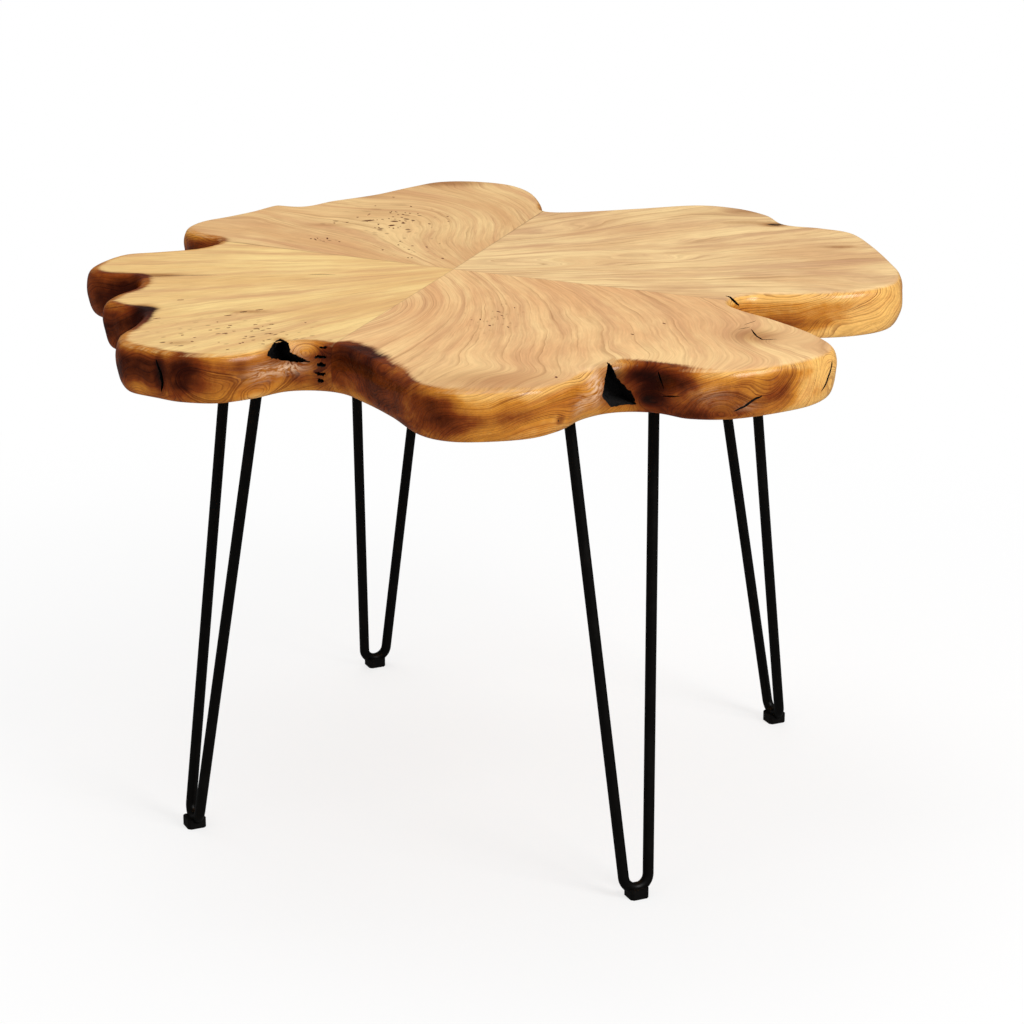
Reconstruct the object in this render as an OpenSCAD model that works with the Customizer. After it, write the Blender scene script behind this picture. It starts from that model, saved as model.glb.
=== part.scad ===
// Live edge coffee table: four bookmatched slabs, doweled edge to edge, on four hairpin legs.
// Millimetres. X runs to the right, Y to the back and Z up.
// The origin is on the floor, under the middle of the top.

/* [Top] */
// Width of the top, from its left tip to its right tip
top_w = 812.8; // [640:0.1:1000]
// Depth of the top, from its front tip to its back tip
top_d = 812.8; // [640:0.1:1000]
// Height of the table, from the floor to the tabletop
table_h = 520.7; // [400:0.1:760]
// Thickness of the slabs
slab_t = 48; // [40:1:64]

/* [Live edge] */
// How far the rounded crown of the edge reaches in over the top
crown_in = 11; // [5:0.5:12]
// Height of the crown, from the tabletop to the fullest line of the edge
crown_h = 19; // [10:1:24]
// How far the edge draws in under the slab
under_in = 15; // [6:0.5:16]
// How much the fullest line rises and falls along the edge
edge_wander = 3; // [0:0.5:4]

/* [Bark pocket and knot hole] */
// Width of the bark pocket in the front notch
pocket_w = 30; // [16:1:40]
// Height of the bark pocket
pocket_h = 36; // [20:1:39]
// Depth of the bark pocket
pocket_deep = 16; // [6:1:24]
// Radius of the knot hole at the front left
knot_r = 8; // [4:0.5:11]
// Depth of the knot hole
knot_deep = 22; // [10:1:34]
// Distance from the tabletop down to the middle of the knot hole
knot_down = 10; // [6:0.5:16]

/* [Dowels] */
// Diameter of the dowels in the seams
dowel_d = 10; // [6:0.5:12]
// Length of the dowels
dowel_l = 50; // [30:1:56]
// Distance from the middle of the seams to the first dowel
dowel_first = 60; // [50:1:70]
// Distance from one dowel to the next
dowel_pitch = 75; // [40:1:80]
// Dowels in each seam
dowel_count = 3; // [1:1:3]
// Clearance round a dowel in its hole
dowel_fit = 0.1; // [0.05:0.05:0.3]
// Glue space past each end of a dowel
dowel_end = 0.8; // [0.2:0.1:2]

/* [Hairpin legs] */
// Diameter of the leg rod
rod_d = 10.5; // [8:0.5:13]
// Distance between the two rods of a leg at its plate
rod_spread = 88; // [64:1:110]
// Radius of the hairpin bend, to the middle of the rod
bend_r = 13; // [10:0.5:18]
// Distance from the middle of the legs to each foot
foot_reach = 326; // [280:1:350]
// How much further out a foot stands than its plate
splay = 64; // [30:1:90]
// Turn of the square of legs about the vertical
leg_turn = -20.5; // [-30:0.5:-10]
// How far the legs stand forward of the middle of the top
leg_forward = 24; // [0:1:30]
// Height of the weld collar at the top of a rod
weld_h = 5; // [2:0.5:8]
// Width of the weld collar round the rod
weld_w = 2.5; // [1:0.5:4]

/* [Leg plates and screws] */
// Length of a leg plate, across the leg
plate_l = 124; // [112:1:140]
// Width of a leg plate
plate_w = 46; // [40:1:60]
// Thickness of a leg plate
plate_t = 3; // [2:0.5:5]
// Radius of the plate corners
plate_corner = 9; // [3:0.5:16]
// Distance from the plate edge to the middle of a screw
screw_margin = 9; // [7:0.5:10]
// Diameter of the screw shank
screw_d = 4.5; // [3:0.5:5]
// Length of a screw under its head
screw_l = 25; // [14:1:27]
// Diameter of the screw head
screw_head_d = 9.5; // [8:0.5:11]
// Height of the screw head
screw_head_h = 3; // [2:0.5:4]
// Clearance of the screw in the plate
plate_fit = 0.4; // [0.2:0.1:0.8]
// Clearance of the screw in its pilot hole
pilot_fit = 0.1; // [0.05:0.05:0.3]

/* [Feet] */
// Length of a foot clip along the rod
clip_l = 19; // [14:1:22]
// Width of a foot clip across the rod
clip_w = 19; // [17:1:24]
// Thickness of the clip under the rod
clip_floor = 3; // [2:0.5:6]
// How far the lips of the clip reach up past the middle of the rod
clip_lip = 1.4; // [0.5:0.1:2.5]
// Clearance of the rod in its clip
clip_fit = 0.1; // [0.05:0.05:0.3]

/* [Hidden] */
$fn = 64;
// How far a cutter runs past the face it cuts
past = 1;

// Outline of the live edge as seen from above, slab by slab, counterclockwise.
// Each list starts in the notch where its first seam comes out, and the next list carries on.
// The points are rough millimetres: the finished curve is fitted to top_w and top_d.
front_rim = [
    [-148, -250], [-124, -280], [-98, -322], [-72, -374], [-40, -396], [0, -397], [40, -386], [68, -362],
    [88, -330], [112, -312], [142, -312], [172, -330], [214, -332], [262, -312], [300, -284], [316, -248],
    [302, -204], [268, -154], [240, -122]
];
right_rim = [
    [229, -96], [252, -76], [300, -74], [354, -64], [392, -38], [405, 6], [399, 62], [388, 122],
    [372, 170], [340, 192], [306, 206], [291, 244], [260, 276], [214, 291], [148, 276], [84, 262]
];
back_rim = [
    [54, 266], [51, 306], [42, 348], [18, 382], [-24, 399], [-66, 396], [-100, 370], [-136, 336],
    [-180, 308], [-206, 286], [-236, 290], [-262, 262], [-286, 240], [-312, 218], [-325, 186], [-312, 156]
];
left_rim = [
    [-286, 135], [-302, 110], [-338, 97], [-374, 86], [-396, 56], [-405, 22], [-388, -2], [-354, -12],
    [-352, -42], [-368, -70], [-375, -98], [-358, -118], [-336, -134], [-338, -172], [-349, -210],
    [-342, -244], [-312, -266], [-286, -280], [-248, -284], [-212, -268], [-182, -246]
];
rims = [front_rim, right_rim, back_rim, left_rim];
rim = concat(front_rim, right_rim, back_rim, left_rim);
// Where the four slabs meet, in the same rough millimetres
meeting = [-40, 21];
// Bark pocket and knot hole, in the same rough millimetres
pocket_at = [113, -312];
knot_at = [-191, -254];

// Smooth curve through the rim points
curve_steps = 5;
function rim_at(i) = rim[(i + len(rim)) % len(rim)];
function smooth(a, b, c, d, t) =
    0.5 * (2 * b + t * (c - a) + t * t * (2 * a - 5 * b + 4 * c - d) + t * t * t * (3 * b - a - 3 * c + d));
curve = [
    for (i = [0 : len(rim) - 1])
        for (s = [0 : curve_steps - 1])
            smooth(rim_at(i - 1), rim_at(i), rim_at(i + 1), rim_at(i + 2), s / curve_steps)
];
xs = [for (p = curve) p[0]];
ys = [for (p = curve) p[1]];
function fit(p) = [
    (p[0] - (max(xs) + min(xs)) / 2) * top_w / (max(xs) - min(xs)),
    (p[1] - (max(ys) + min(ys)) / 2) * top_d / (max(ys) - min(ys))
];
edge = [for (p = curve) fit(p)];
heart = fit(meeting);
function first_point(k) = k == 0 ? 0 : first_point(k - 1) + curve_steps * len(rims[k - 1]);
function edge_at(i) = edge[(i + len(edge)) % len(edge)];
function unit(v) = v / norm(v);
function bearing(v) = atan2(v[1], v[0]);

// Which way the edge draws in at a point: square to the curve, but along the seam where two slabs meet
seam_points = [for (k = [0 : 3]) first_point(k)];
function is_seam(i) = len(search(i % len(edge), seam_points)) > 0;
function inward(i) =
    is_seam(i)
        ? unit(heart - edge_at(i))
        : let (chord = edge_at(i + 2) - edge_at(i - 2)) unit([-chord[1], chord[0]]);

// Section of the live edge: a short crown over the fullest line and a longer draw under it
crown_rings = 5;
under_rings = 5;
function ring_in(j) =
    j <= crown_rings
        ? crown_in * (1 - sin(90 * j / crown_rings))
        : under_in * (1 - cos(90 * (j - crown_rings) / under_rings));
function full_line(i) = crown_h + edge_wander * sin(1080 * i / len(edge)) * cos(360 * i / len(edge));
function ring_down(i, j) =
    j <= crown_rings
        ? full_line(i) * (1 - cos(90 * j / crown_rings))
        : full_line(i) + (slab_t - full_line(i)) * sin(90 * (j - crown_rings) / under_rings);
last_ring = crown_rings + under_rings;
function ring_point(i, j) =
    let (p = edge_at(i) + ring_in(j) * inward(i)) [p[0], p[1], table_h - ring_down(i, j)];

// One slab: rings of points down the edge, two caps and two flat seam faces, all in triangles
module slab_blank(k) {
    first = first_point(k);
    count = curve_steps * len(rims[k]) + 1;
    points = concat(
        [for (j = [0 : last_ring]) for (i = [0 : count - 1]) ring_point(first + i, j)],
        [[heart[0], heart[1], table_h], [heart[0], heart[1], table_h - slab_t]]
    );
    top_heart = (last_ring + 1) * count;
    low_heart = top_heart + 1;
    low_ring = last_ring * count;
    side = [
        for (j = [0 : last_ring - 1])
            for (i = [0 : count - 2])
                each [
                    [j * count + i, j * count + i + 1, (j + 1) * count + i],
                    [j * count + i + 1, (j + 1) * count + i + 1, (j + 1) * count + i]
                ]
    ];
    caps = [
        for (i = [0 : count - 2])
            each [[top_heart, i + 1, i], [low_heart, low_ring + i, low_ring + i + 1]]
    ];
    seams = [
        for (j = [0 : last_ring - 1])
            each [
                [top_heart, j * count, (j + 1) * count],
                [top_heart, (j + 2) * count - 1, (j + 1) * count - 1]
            ]
    ];
    ends = [[top_heart, low_ring, low_heart], [top_heart, low_heart, low_ring + count - 1]];
    polyhedron(points = points, faces = concat(side, caps, seams, ends), convexity = 10);
}

// The seams leave the heart towards the first point of each slab
function seam_bearing(k) = bearing(edge_at(first_point(k)) - heart);

// Places the children at each dowel of a seam, lying across it at half thickness
module at_dowels(k) {
    for (n = [0 : dowel_count - 1])
        translate([heart[0], heart[1], table_h - slab_t / 2])
            rotate([0, 0, seam_bearing(k)])
                translate([dowel_first + n * dowel_pitch, 0, 0])
                    rotate([90, 0, 0])
                        children();
}

dowel_chamfer = 1;
module dowels(k) {
    color("burlywood")
        at_dowels(k) {
            cylinder(d = dowel_d, h = dowel_l - 2 * dowel_chamfer, center = true);
            for (side = [0, 1])
                mirror([0, 0, side])
                    translate([0, 0, dowel_l / 2 - dowel_chamfer])
                        cylinder(d1 = dowel_d, d2 = dowel_d - 2 * dowel_chamfer, h = dowel_chamfer);
        }
}

module dowel_holes(k) {
    at_dowels(k)
        cylinder(d = dowel_d + 2 * dowel_fit, h = dowel_l + 2 * dowel_end, center = true);
}

// Legs, in the order front right, back right, back left, front left
function leg_bearing(n) = leg_turn - 45 + 90 * n;
plate_top = table_h - slab_t;
plate_low = plate_top - plate_t;
rod_r = rod_d / 2;
// Middle of the rod at the bottom of the bend
bend_low = clip_floor + clip_fit + rod_r;
lean = atan(splay / (plate_low - bend_low));
leg_len = norm([splay, plate_low - bend_low]);
// Distance down the leg to the middle of the bend, and the half angle of the V
bend_down = leg_len - bend_r;
half_angle = atan(rod_spread / 2 / bend_down) - asin(bend_r / norm([rod_spread / 2, bend_down]));

// Places the children over a leg's foot: X across the leg and Y outwards
module at_foot(n) {
    translate([0, -leg_forward, 0])
        rotate([0, 0, leg_bearing(n) - 90])
            translate([0, foot_reach, 0])
                children();
}

module at_screws(n) {
    across = plate_l / 2 - screw_margin;
    along = plate_w / 2 - screw_margin;
    at_foot(n)
        translate([0, -splay, 0])
            for (place = [[across, along], [-across, along], [-across, -along], [across, -along], [0, 0]])
                translate([place[0], place[1], 0])
                    children();
}

module pilot_holes() {
    for (n = [0 : 3])
        at_screws(n)
            translate([0, 0, plate_top - past])
                cylinder(d = screw_d + 2 * pilot_fit, h = past + screw_l - plate_t + pilot_fit);
}

// Lays the children on the leaning plane of a hairpin: origin under the plate, leg down along -Z
module on_lean() {
    translate([0, -splay, plate_low])
        rotate([lean, 0, 0])
            children();
}

// The bend alone, with the rod at a given radius. Bending leaves the rod a hair fuller there,
// and each straight rod laps a little way into it.
bend_full = 0.02;
bend_lap = 0.3;
module bend(r) {
    translate([0, 0, -bend_down])
        rotate([90, 0, 0])
            rotate_extrude(angle = 180 - 2 * half_angle, start = 180 + half_angle)
                translate([bend_r, 0])
                    circle(r = r);
}

// Depth that the weld collar starts under the rod's surface
weld_root = 0.3;
// Straight rod on one side, from its tangent point on the bend to above the plate's underside
module straight_rod(side) {
    tangent_x = bend_r * cos(half_angle);
    tangent_z = -bend_down - bend_r * sin(half_angle);
    rod_len = sqrt(pow(rod_spread / 2, 2) + pow(bend_down, 2) - pow(bend_r, 2));
    mirror([side, 0, 0])
        translate([tangent_x, 0, tangent_z])
            rotate([0, half_angle, 0]) {
                translate([0, 0, -bend_lap])
                    cylinder(r = rod_r, h = bend_lap + rod_len + plate_t + rod_r);
                translate([0, 0, rod_len - weld_h])
                    cylinder(r1 = rod_r - weld_root, r2 = rod_r + 2 * weld_w, h = 2 * weld_h);
            }
}

module leg_rod(n) {
    color([0.06, 0.06, 0.06])
        at_foot(n)
            difference() {
                on_lean() {
                    bend(rod_r + bend_full);
                    straight_rod(0);
                    straight_rod(1);
                }
                translate([-plate_l, -splay - plate_l, plate_low])
                    cube([2 * plate_l, 2 * plate_l, plate_l]);
            }
}

module leg_plate(n) {
    color([0.08, 0.08, 0.08])
        difference() {
            at_foot(n)
                translate([0, -splay, plate_low])
                    plate_blank();
            at_screws(n)
                translate([0, 0, plate_low - past])
                    cylinder(d = screw_d + 2 * plate_fit, h = plate_t + 2 * past);
        }
}

module plate_blank() {
    linear_extrude(plate_t)
        union() {
            square([plate_l - 2 * plate_corner, plate_w], center = true);
            square([plate_l, plate_w - 2 * plate_corner], center = true);
            for (x = [-1, 1])
                for (y = [-1, 1])
                    translate([x * (plate_l / 2 - plate_corner), y * (plate_w / 2 - plate_corner)])
                        circle(r = plate_corner);
        }
}

// Length of a screw's tapered end, the width left at its point, and the width of the head's rounded rim
screw_tip = 5;
screw_point = 0.8;
head_rim = 1;
module plate_screws(n) {
    color([0.35, 0.35, 0.36])
        at_screws(n) {
            translate([0, 0, plate_low - screw_head_h])
                difference() {
                    cylinder(d1 = screw_head_d - 2 * head_rim, d2 = screw_head_d, h = screw_head_h);
                    screw_cross();
                }
            translate([0, 0, plate_low])
                cylinder(d = screw_d, h = screw_l - screw_tip);
            translate([0, 0, plate_low + screw_l - screw_tip])
                cylinder(d1 = screw_d, d2 = screw_point, h = screw_tip);
        }
}

module screw_cross() {
    slot_w = screw_head_d / 8;
    slot_l = screw_head_d / 2;
    for (turn = [0, 90])
        rotate([0, 0, turn])
            translate([-slot_l / 2, -slot_w / 2, -past])
                cube([slot_l, slot_w, past + screw_head_h / 2]);
}

// Diameter that rounds off the clip's corners, as a share of its longer side
clip_round = 1.22;
module foot_clip(n) {
    color([0.12, 0.12, 0.12])
        at_foot(n)
            difference() {
                intersection() {
                    translate([-clip_l / 2, -clip_w / 2, 0])
                        cube([clip_l, clip_w, bend_low + clip_lip]);
                    cylinder(d = clip_round * max(clip_l, clip_w), h = bend_low + clip_lip);
                }
                on_lean()
                    bend(rod_r + clip_fit);
            }
}

// Slabs
wood = [0.80, 0.62, 0.38];
module slab_front() {
    color(wood)
        difference() {
            slab_blank(0);
            dowel_holes(0);
            dowel_holes(1);
            pilot_holes();
            bark_pocket();
        }
}

module slab_right() {
    color(wood)
        difference() {
            slab_blank(1);
            dowel_holes(1);
            dowel_holes(2);
            pilot_holes();
        }
}

module slab_back() {
    color(wood)
        difference() {
            slab_blank(2);
            dowel_holes(2);
            dowel_holes(3);
            pilot_holes();
        }
}

module slab_left() {
    color(wood)
        difference() {
            slab_blank(3);
            dowel_holes(3);
            dowel_holes(0);
            pilot_holes();
            knot_hole();
        }
}

// Three-cornered hollow where bark was enclosed, opening on the edge of the front notch
module bark_pocket() {
    at = fit(pocket_at);
    w = pocket_w / 2;
    h = pocket_h / 2;
    translate([at[0], at[1], table_h - slab_t / 2])
        rotate([0, 0, bearing(at - heart) + 90])
            rotate([90, 0, 0])
                translate([0, 0, -pocket_deep])
                    linear_extrude(pocket_deep + slab_t)
                        polygon([[-w / 2, h], [0.1 * w, 0.8 * h], [w, -h / 2], [w / 2, -h], [-w, -0.8 * h]]);
}

// Hollow left by a lost knot: it opens on the crown of the edge and runs in and down
knot_slope = 35;
module knot_hole() {
    at = fit(knot_at);
    translate([at[0], at[1], table_h - knot_down])
        rotate([0, 0, bearing(at - heart)])
            rotate([0, 90 - knot_slope, 0])
                translate([0, 0, -knot_deep])
                    cylinder(r = knot_r, h = knot_deep + slab_t);
}

slab_front();
slab_right();
slab_back();
slab_left();
dowels(0);  // dowels_front_left
dowels(1);  // dowels_front_right
dowels(2);  // dowels_back_right
dowels(3);  // dowels_back_left
leg_plate(0);  // leg_plate_front_right
leg_plate(1);  // leg_plate_back_right
leg_plate(2);  // leg_plate_back_left
leg_plate(3);  // leg_plate_front_left
leg_rod(0);  // leg_rod_front_right
leg_rod(1);  // leg_rod_back_right
leg_rod(2);  // leg_rod_back_left
leg_rod(3);  // leg_rod_front_left
foot_clip(0);  // foot_clip_front_right
foot_clip(1);  // foot_clip_back_right
foot_clip(2);  // foot_clip_back_left
foot_clip(3);  // foot_clip_front_left
plate_screws(0);  // plate_screws_front_right
plate_screws(1);  // plate_screws_back_right
plate_screws(2);  // plate_screws_back_left
plate_screws(3);  // plate_screws_front_left
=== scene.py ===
"""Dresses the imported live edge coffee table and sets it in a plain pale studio.

Places and sizes in the tables below are in millimetres. The outline's points are fitted to the real size,
as in the part's source. A length given as a number of MM, and everything that is built, is in metres, in
the CAD frame: X to the right, Y to the back, Z up, with the floor at zero.
"""

import logging
import math
from dataclasses import dataclass, field
from enum import Enum, IntEnum

import bmesh
import bpy
import numpy as np
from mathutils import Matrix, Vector


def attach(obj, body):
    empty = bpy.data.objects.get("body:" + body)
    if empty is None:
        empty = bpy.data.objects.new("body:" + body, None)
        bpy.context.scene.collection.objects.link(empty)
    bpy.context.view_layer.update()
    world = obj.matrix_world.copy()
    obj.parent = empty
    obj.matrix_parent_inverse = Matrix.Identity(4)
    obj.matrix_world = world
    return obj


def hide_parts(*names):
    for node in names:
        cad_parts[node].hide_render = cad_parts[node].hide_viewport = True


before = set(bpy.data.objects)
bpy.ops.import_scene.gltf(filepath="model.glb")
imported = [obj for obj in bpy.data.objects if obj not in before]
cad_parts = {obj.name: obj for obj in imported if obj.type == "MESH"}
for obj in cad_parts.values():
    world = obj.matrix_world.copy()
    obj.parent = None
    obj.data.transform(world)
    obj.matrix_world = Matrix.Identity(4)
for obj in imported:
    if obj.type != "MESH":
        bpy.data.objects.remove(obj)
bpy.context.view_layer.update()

LOG = logging.getLogger("coffee_table")
MM = 0.001
BODY = "root"
Colour = tuple[int, int, int]
Place = tuple[float, float, float]
Socket = bpy.types.NodeSocket
Feed = Socket | float | tuple[float, ...]
NUMBER, VECTOR = "NodeSocketFloat", "NodeSocketVector"


class Corner(Enum):
    """The four legs, by the corner of the table that each stands under."""

    FRONT_RIGHT = "front_right"
    BACK_RIGHT = "back_right"
    BACK_LEFT = "back_left"
    FRONT_LEFT = "front_left"


class Side(Enum):
    """The four slabs, in the order in which the outline runs round them."""

    FRONT = 0
    RIGHT = 1
    BACK = 2
    LEFT = 3


class Seed(IntEnum):
    """Where each random draw starts, so that every run gives the same table.

    The cut step lies between the starts of one hollow or nick and the next.
    """

    HOLLOWS = 3
    FLUTES = 4
    RIPPLES = 5
    LONG_ROLLS = 11
    SHORT_ROLLS = 12
    CUT_STEP = 31
    NICK_PLACES = 70
    NICK_SHAPES = 500


def linear(red: int, green: int, blue: int) -> tuple[float, float, float, float]:
    """Turns a screen colour, each part from 0 to 255, into the linear one that shaders take."""
    parts = [value / 255 for value in (red, green, blue)]
    return (*[part / 12.92 if part <= 0.04045 else ((part + 0.055) / 1.055) ** 2.4 for part in parts], 1.0)


def smooth_step(value: np.ndarray, low: float, high: float) -> np.ndarray:
    """Rises smoothly from 0 at low to 1 at high."""
    share = np.clip((value - low) / (high - low), 0, 1)
    return share * share * (3 - 2 * share)


# Waves in one wandering field, how much their lengths differ, and the number that brings it near 1
WAVES = 10
WAVE_LENGTHS = (0.75, 1.7)
WAVE_LEVEL = 4


def wander(points: np.ndarray, length: float, seed: int) -> np.ndarray:
    """A smooth field that wanders between about -1 and 1 over the given length.

    Args:
        points: Places, one row each.
        length: Distance over which the field changes, in the points' units.
        seed: Picks one field of many.

    Returns:
        One value for each place.
    """
    draw = np.random.default_rng(seed)
    total = np.zeros(len(points))
    for _ in range(WAVES):
        way = draw.normal(size=3)
        way *= 2 * math.pi / (length * draw.uniform(*WAVE_LENGTHS) * np.linalg.norm(way))
        total += np.sin(points @ way + draw.uniform(0, 2 * math.pi))
    return total / WAVE_LEVEL


def between(points: np.ndarray, spots: np.ndarray) -> np.ndarray:
    """Places along a chain of points, where spot 0 is the first point, 1 the next, and so on."""
    return np.column_stack([np.interp(spots, np.arange(len(points)), column) for column in points.T])


def skin(mesh: bmesh.types.BMesh, loops: list[list[bmesh.types.BMVert]]) -> list[bmesh.types.BMFace]:
    """Joins each loop of corners to the next with a band of faces.

    Args:
        mesh: The mesh that holds the corners.
        loops: Loops of equally many corners.

    Returns:
        The new faces.
    """
    faces = []
    for one, two in zip(loops, loops[1:]):
        for index in range(len(one)):
            faces.append(mesh.faces.new((one[index - 1], one[index], two[index], two[index - 1])))
    return faces


@dataclass(frozen=True)
class Outline:
    """The live edge as seen from above, with the same points and curve as the part's source."""

    width: float = 812.8
    depth: float = 812.8
    source_steps: int = 5
    steps: int = 15
    meeting: tuple[float, float] = (-40, 21)
    rims: tuple[tuple[tuple[float, float], ...], ...] = (
        ((-148, -250), (-124, -280), (-98, -322), (-72, -374), (-40, -396), (0, -397), (40, -386),
         (68, -362), (88, -330), (112, -312), (142, -312), (172, -330), (214, -332), (262, -312),
         (300, -284), (316, -248), (302, -204), (268, -154), (240, -122)),
        ((229, -96), (252, -76), (300, -74), (354, -64), (392, -38), (405, 6), (399, 62), (388, 122),
         (372, 170), (340, 192), (306, 206), (291, 244), (260, 276), (214, 291), (148, 276), (84, 262)),
        ((54, 266), (51, 306), (42, 348), (18, 382), (-24, 399), (-66, 396), (-100, 370), (-136, 336),
         (-180, 308), (-206, 286), (-236, 290), (-262, 262), (-286, 240), (-312, 218), (-325, 186),
         (-312, 156)),
        ((-286, 135), (-302, 110), (-338, 97), (-374, 86), (-396, 56), (-405, 22), (-388, -2),
         (-354, -12), (-352, -42), (-368, -70), (-375, -98), (-358, -118), (-336, -134), (-338, -172),
         (-349, -210), (-342, -244), (-312, -266), (-286, -280), (-248, -284), (-212, -268),
         (-182, -246)),
    )

    def curve(self, steps: int) -> np.ndarray:
        """Joins the rim points with a smooth curve.

        Args:
            steps: Number of steps from one rim point to the next.

        Returns:
            The points of the curve, one row each, in rough millimetres.
        """
        rim = np.array([point for rim in self.rims for point in rim], float)
        before, after, beyond = np.roll(rim, 1, 0), np.roll(rim, -1, 0), np.roll(rim, -2, 0)
        square = 2 * before - 5 * rim + 4 * after - beyond
        cube = 3 * rim - before - 3 * after + beyond
        rows = []
        for part in np.arange(steps) / steps:
            rows.append(0.5 * (2 * rim + part * (after - before) + part ** 2 * square + part ** 3 * cube))
        return np.stack(rows, 1).reshape(-1, 2)

    def fit(self, points: np.ndarray) -> np.ndarray:
        """Fits rough points to the real width and depth, as the part's source does.

        Args:
            points: Places on the plan, one row each, in rough millimetres.

        Returns:
            The same places in metres.
        """
        source = self.curve(self.source_steps)
        low, high = source.min(0), source.max(0)
        return (points - (low + high) / 2) * np.array([self.width, self.depth]) / (high - low) * MM

    def edge(self) -> np.ndarray:
        """The fitted curve, in metres."""
        return self.fit(self.curve(self.steps))

    def heart(self) -> np.ndarray:
        """Where the four slabs meet, in metres."""
        return self.fit(np.array(self.meeting, float))

    def first(self, slab: int) -> int:
        """Number of the curve point at which a slab's first seam comes out."""
        return self.steps * sum(len(rim) for rim in self.rims[:slab])

    def inward(self, edge: np.ndarray, heart: np.ndarray) -> np.ndarray:
        """Works out which way the edge draws in: square to the curve, but along a seam at its end.

        Args:
            edge: The fitted curve, in metres.
            heart: Where the four slabs meet, in metres.

        Returns:
            A direction of length 1 for each point of the curve.
        """
        reach = 2 * self.steps // self.source_steps
        chord = np.roll(edge, -reach, 0) - np.roll(edge, reach, 0)
        square = np.stack([-chord[:, 1], chord[:, 0]], 1)
        square /= np.linalg.norm(square, axis=1, keepdims=True)
        home = heart - edge
        home /= np.linalg.norm(home, axis=1, keepdims=True)
        blend = self.steps // self.source_steps
        share = np.zeros(len(edge))
        for slab in range(len(self.rims)):
            for step in range(-blend, blend + 1):
                share[(self.first(slab) + step) % len(edge)] = 1 - abs(step) / blend
        way = square * (1 - share[:, None]) + home * share[:, None]
        return way / np.linalg.norm(way, axis=1, keepdims=True)


@dataclass(frozen=True)
class Spot:
    """A soft round patch where something on the wood is stronger: a stain, a hump, a patch of knots."""

    at: Place
    reach: Place
    strength: float = 1.0

    def mask(self, points: np.ndarray) -> np.ndarray:
        """Strength at each place, fading outwards."""
        gap = (points - np.array(self.at) * MM) / (np.array(self.reach) * MM)
        return self.strength * np.exp(-(gap ** 2).sum(1))


def masked(spots: tuple[Spot, ...], points: np.ndarray) -> np.ndarray:
    """Strength of all the spots together at each place."""
    return sum((spot.mask(points) for spot in spots), np.zeros(len(points)))


@dataclass(frozen=True)
class EdgeSection:
    """The rounded section of the live edge, as in the part's source, with the wear of a real one.

    A hollow, a ripple and a flute are how deep the wear goes over a long, a short and a very short way.
    """

    top: float = 520.7 * MM
    thick: float = 48 * MM
    crown_in: float = 11 * MM
    crown_h: float = 19 * MM
    under_in: float = 15 * MM
    full_wander: float = 3 * MM
    crown_rings: int = 12
    under_rings: int = 16
    hollow: float = 1.1 * MM
    hollow_long: float = 75 * MM
    ripple_share: float = 0.5
    ripple_long: float = 30 * MM
    flute: float = 0.35 * MM
    flute_long: float = 16 * MM
    flute_upright: Place = (1, 1, 0.3)
    humps: tuple[Spot, ...] = (
        Spot((-173, -246, 514), (13, 13, 10), 9.0), Spot((-204, -266, 498), (16, 14, 11), -3.0),
        Spot((-250, -288, 492), (26, 20, 16), 1.2), Spot((128, -316, 500), (24, 16, 26), -3.0),
        Spot((92, -334, 498), (9, 12, 18), 2.0), Spot((143, -318, 488), (9, 12, 8), 2.4),
        Spot((228, -336, 486), (20, 10, 8), -1.6), Spot((-303, -280, 500), (6, 8, 26), -1.8),
        Spot((236, -88, 512), (12, 12, 12), -2.0), Spot((270, -78, 485), (52, 24, 12), -4.0),
        Spot((-151, -255, 500), (8, 10, 26), -1.6),
    )

    def full_line(self, count: int) -> np.ndarray:
        """Depth of the fullest line under the tabletop, for each point of a curve of count points."""
        turn = 2 * math.pi * np.arange(count) / count
        return self.crown_h + self.full_wander * np.sin(3 * turn) * np.cos(turn)

    def profile(self, ring: int, full: np.ndarray) -> tuple[float, np.ndarray]:
        """Finds where one ring lies in the section.

        Args:
            ring: Number of the ring, from the tabletop.
            full: Depth of the fullest line at each point of the edge.

        Returns:
            How far the ring lies inside the outline, and its depth under the tabletop at each point.
        """
        if ring <= self.crown_rings:
            turn = math.pi / 2 * (ring / self.crown_rings)
            return self.crown_in * (1 - math.sin(turn)), full * (1 - math.cos(turn))
        turn = math.pi / 2 * ((ring - self.crown_rings) / self.under_rings)
        return self.under_in * (1 - math.cos(turn)), full + (self.thick - full) * math.sin(turn)

    def wear(self, place: np.ndarray) -> np.ndarray:
        """Works out how far the edge is worn in, less the humps that stand out of it.

        Args:
            place: Places on the edge, one row each, in metres.

        Returns:
            The depth of wear at each place, in metres.
        """
        hollows = self.hollow * (1 + wander(place, self.hollow_long, Seed.HOLLOWS))
        flutes = self.flute * (1 + wander(place * self.flute_upright, self.flute_long, Seed.FLUTES))
        ripples = self.ripple_share * self.hollow * (1 + wander(place, self.ripple_long, Seed.RIPPLES))
        worn = np.clip(hollows + flutes + ripples, 0, None)
        for hump in self.humps:
            worn -= hump.mask(place) * MM
        return worn

    def rings(self, edge: np.ndarray, inward: np.ndarray) -> np.ndarray:
        """Builds the edge's surface as rings from the tabletop to the underside.

        Args:
            edge: The fullest outline, in metres.
            inward: Which way it draws in at each point.

        Returns:
            An array of rings by points by three.
        """
        full = self.full_line(len(edge))
        rows = []
        for ring in range(self.crown_rings + self.under_rings + 1):
            inset, down = self.profile(ring, full)
            place = np.column_stack([edge + inset * inward, self.top - down])
            ease = np.clip(np.sin(math.pi * down / self.thick), 0, 1)
            place[:, :2] += (ease * self.wear(place))[:, None] * inward
            rows.append(place)
        return np.stack(rows)


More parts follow.
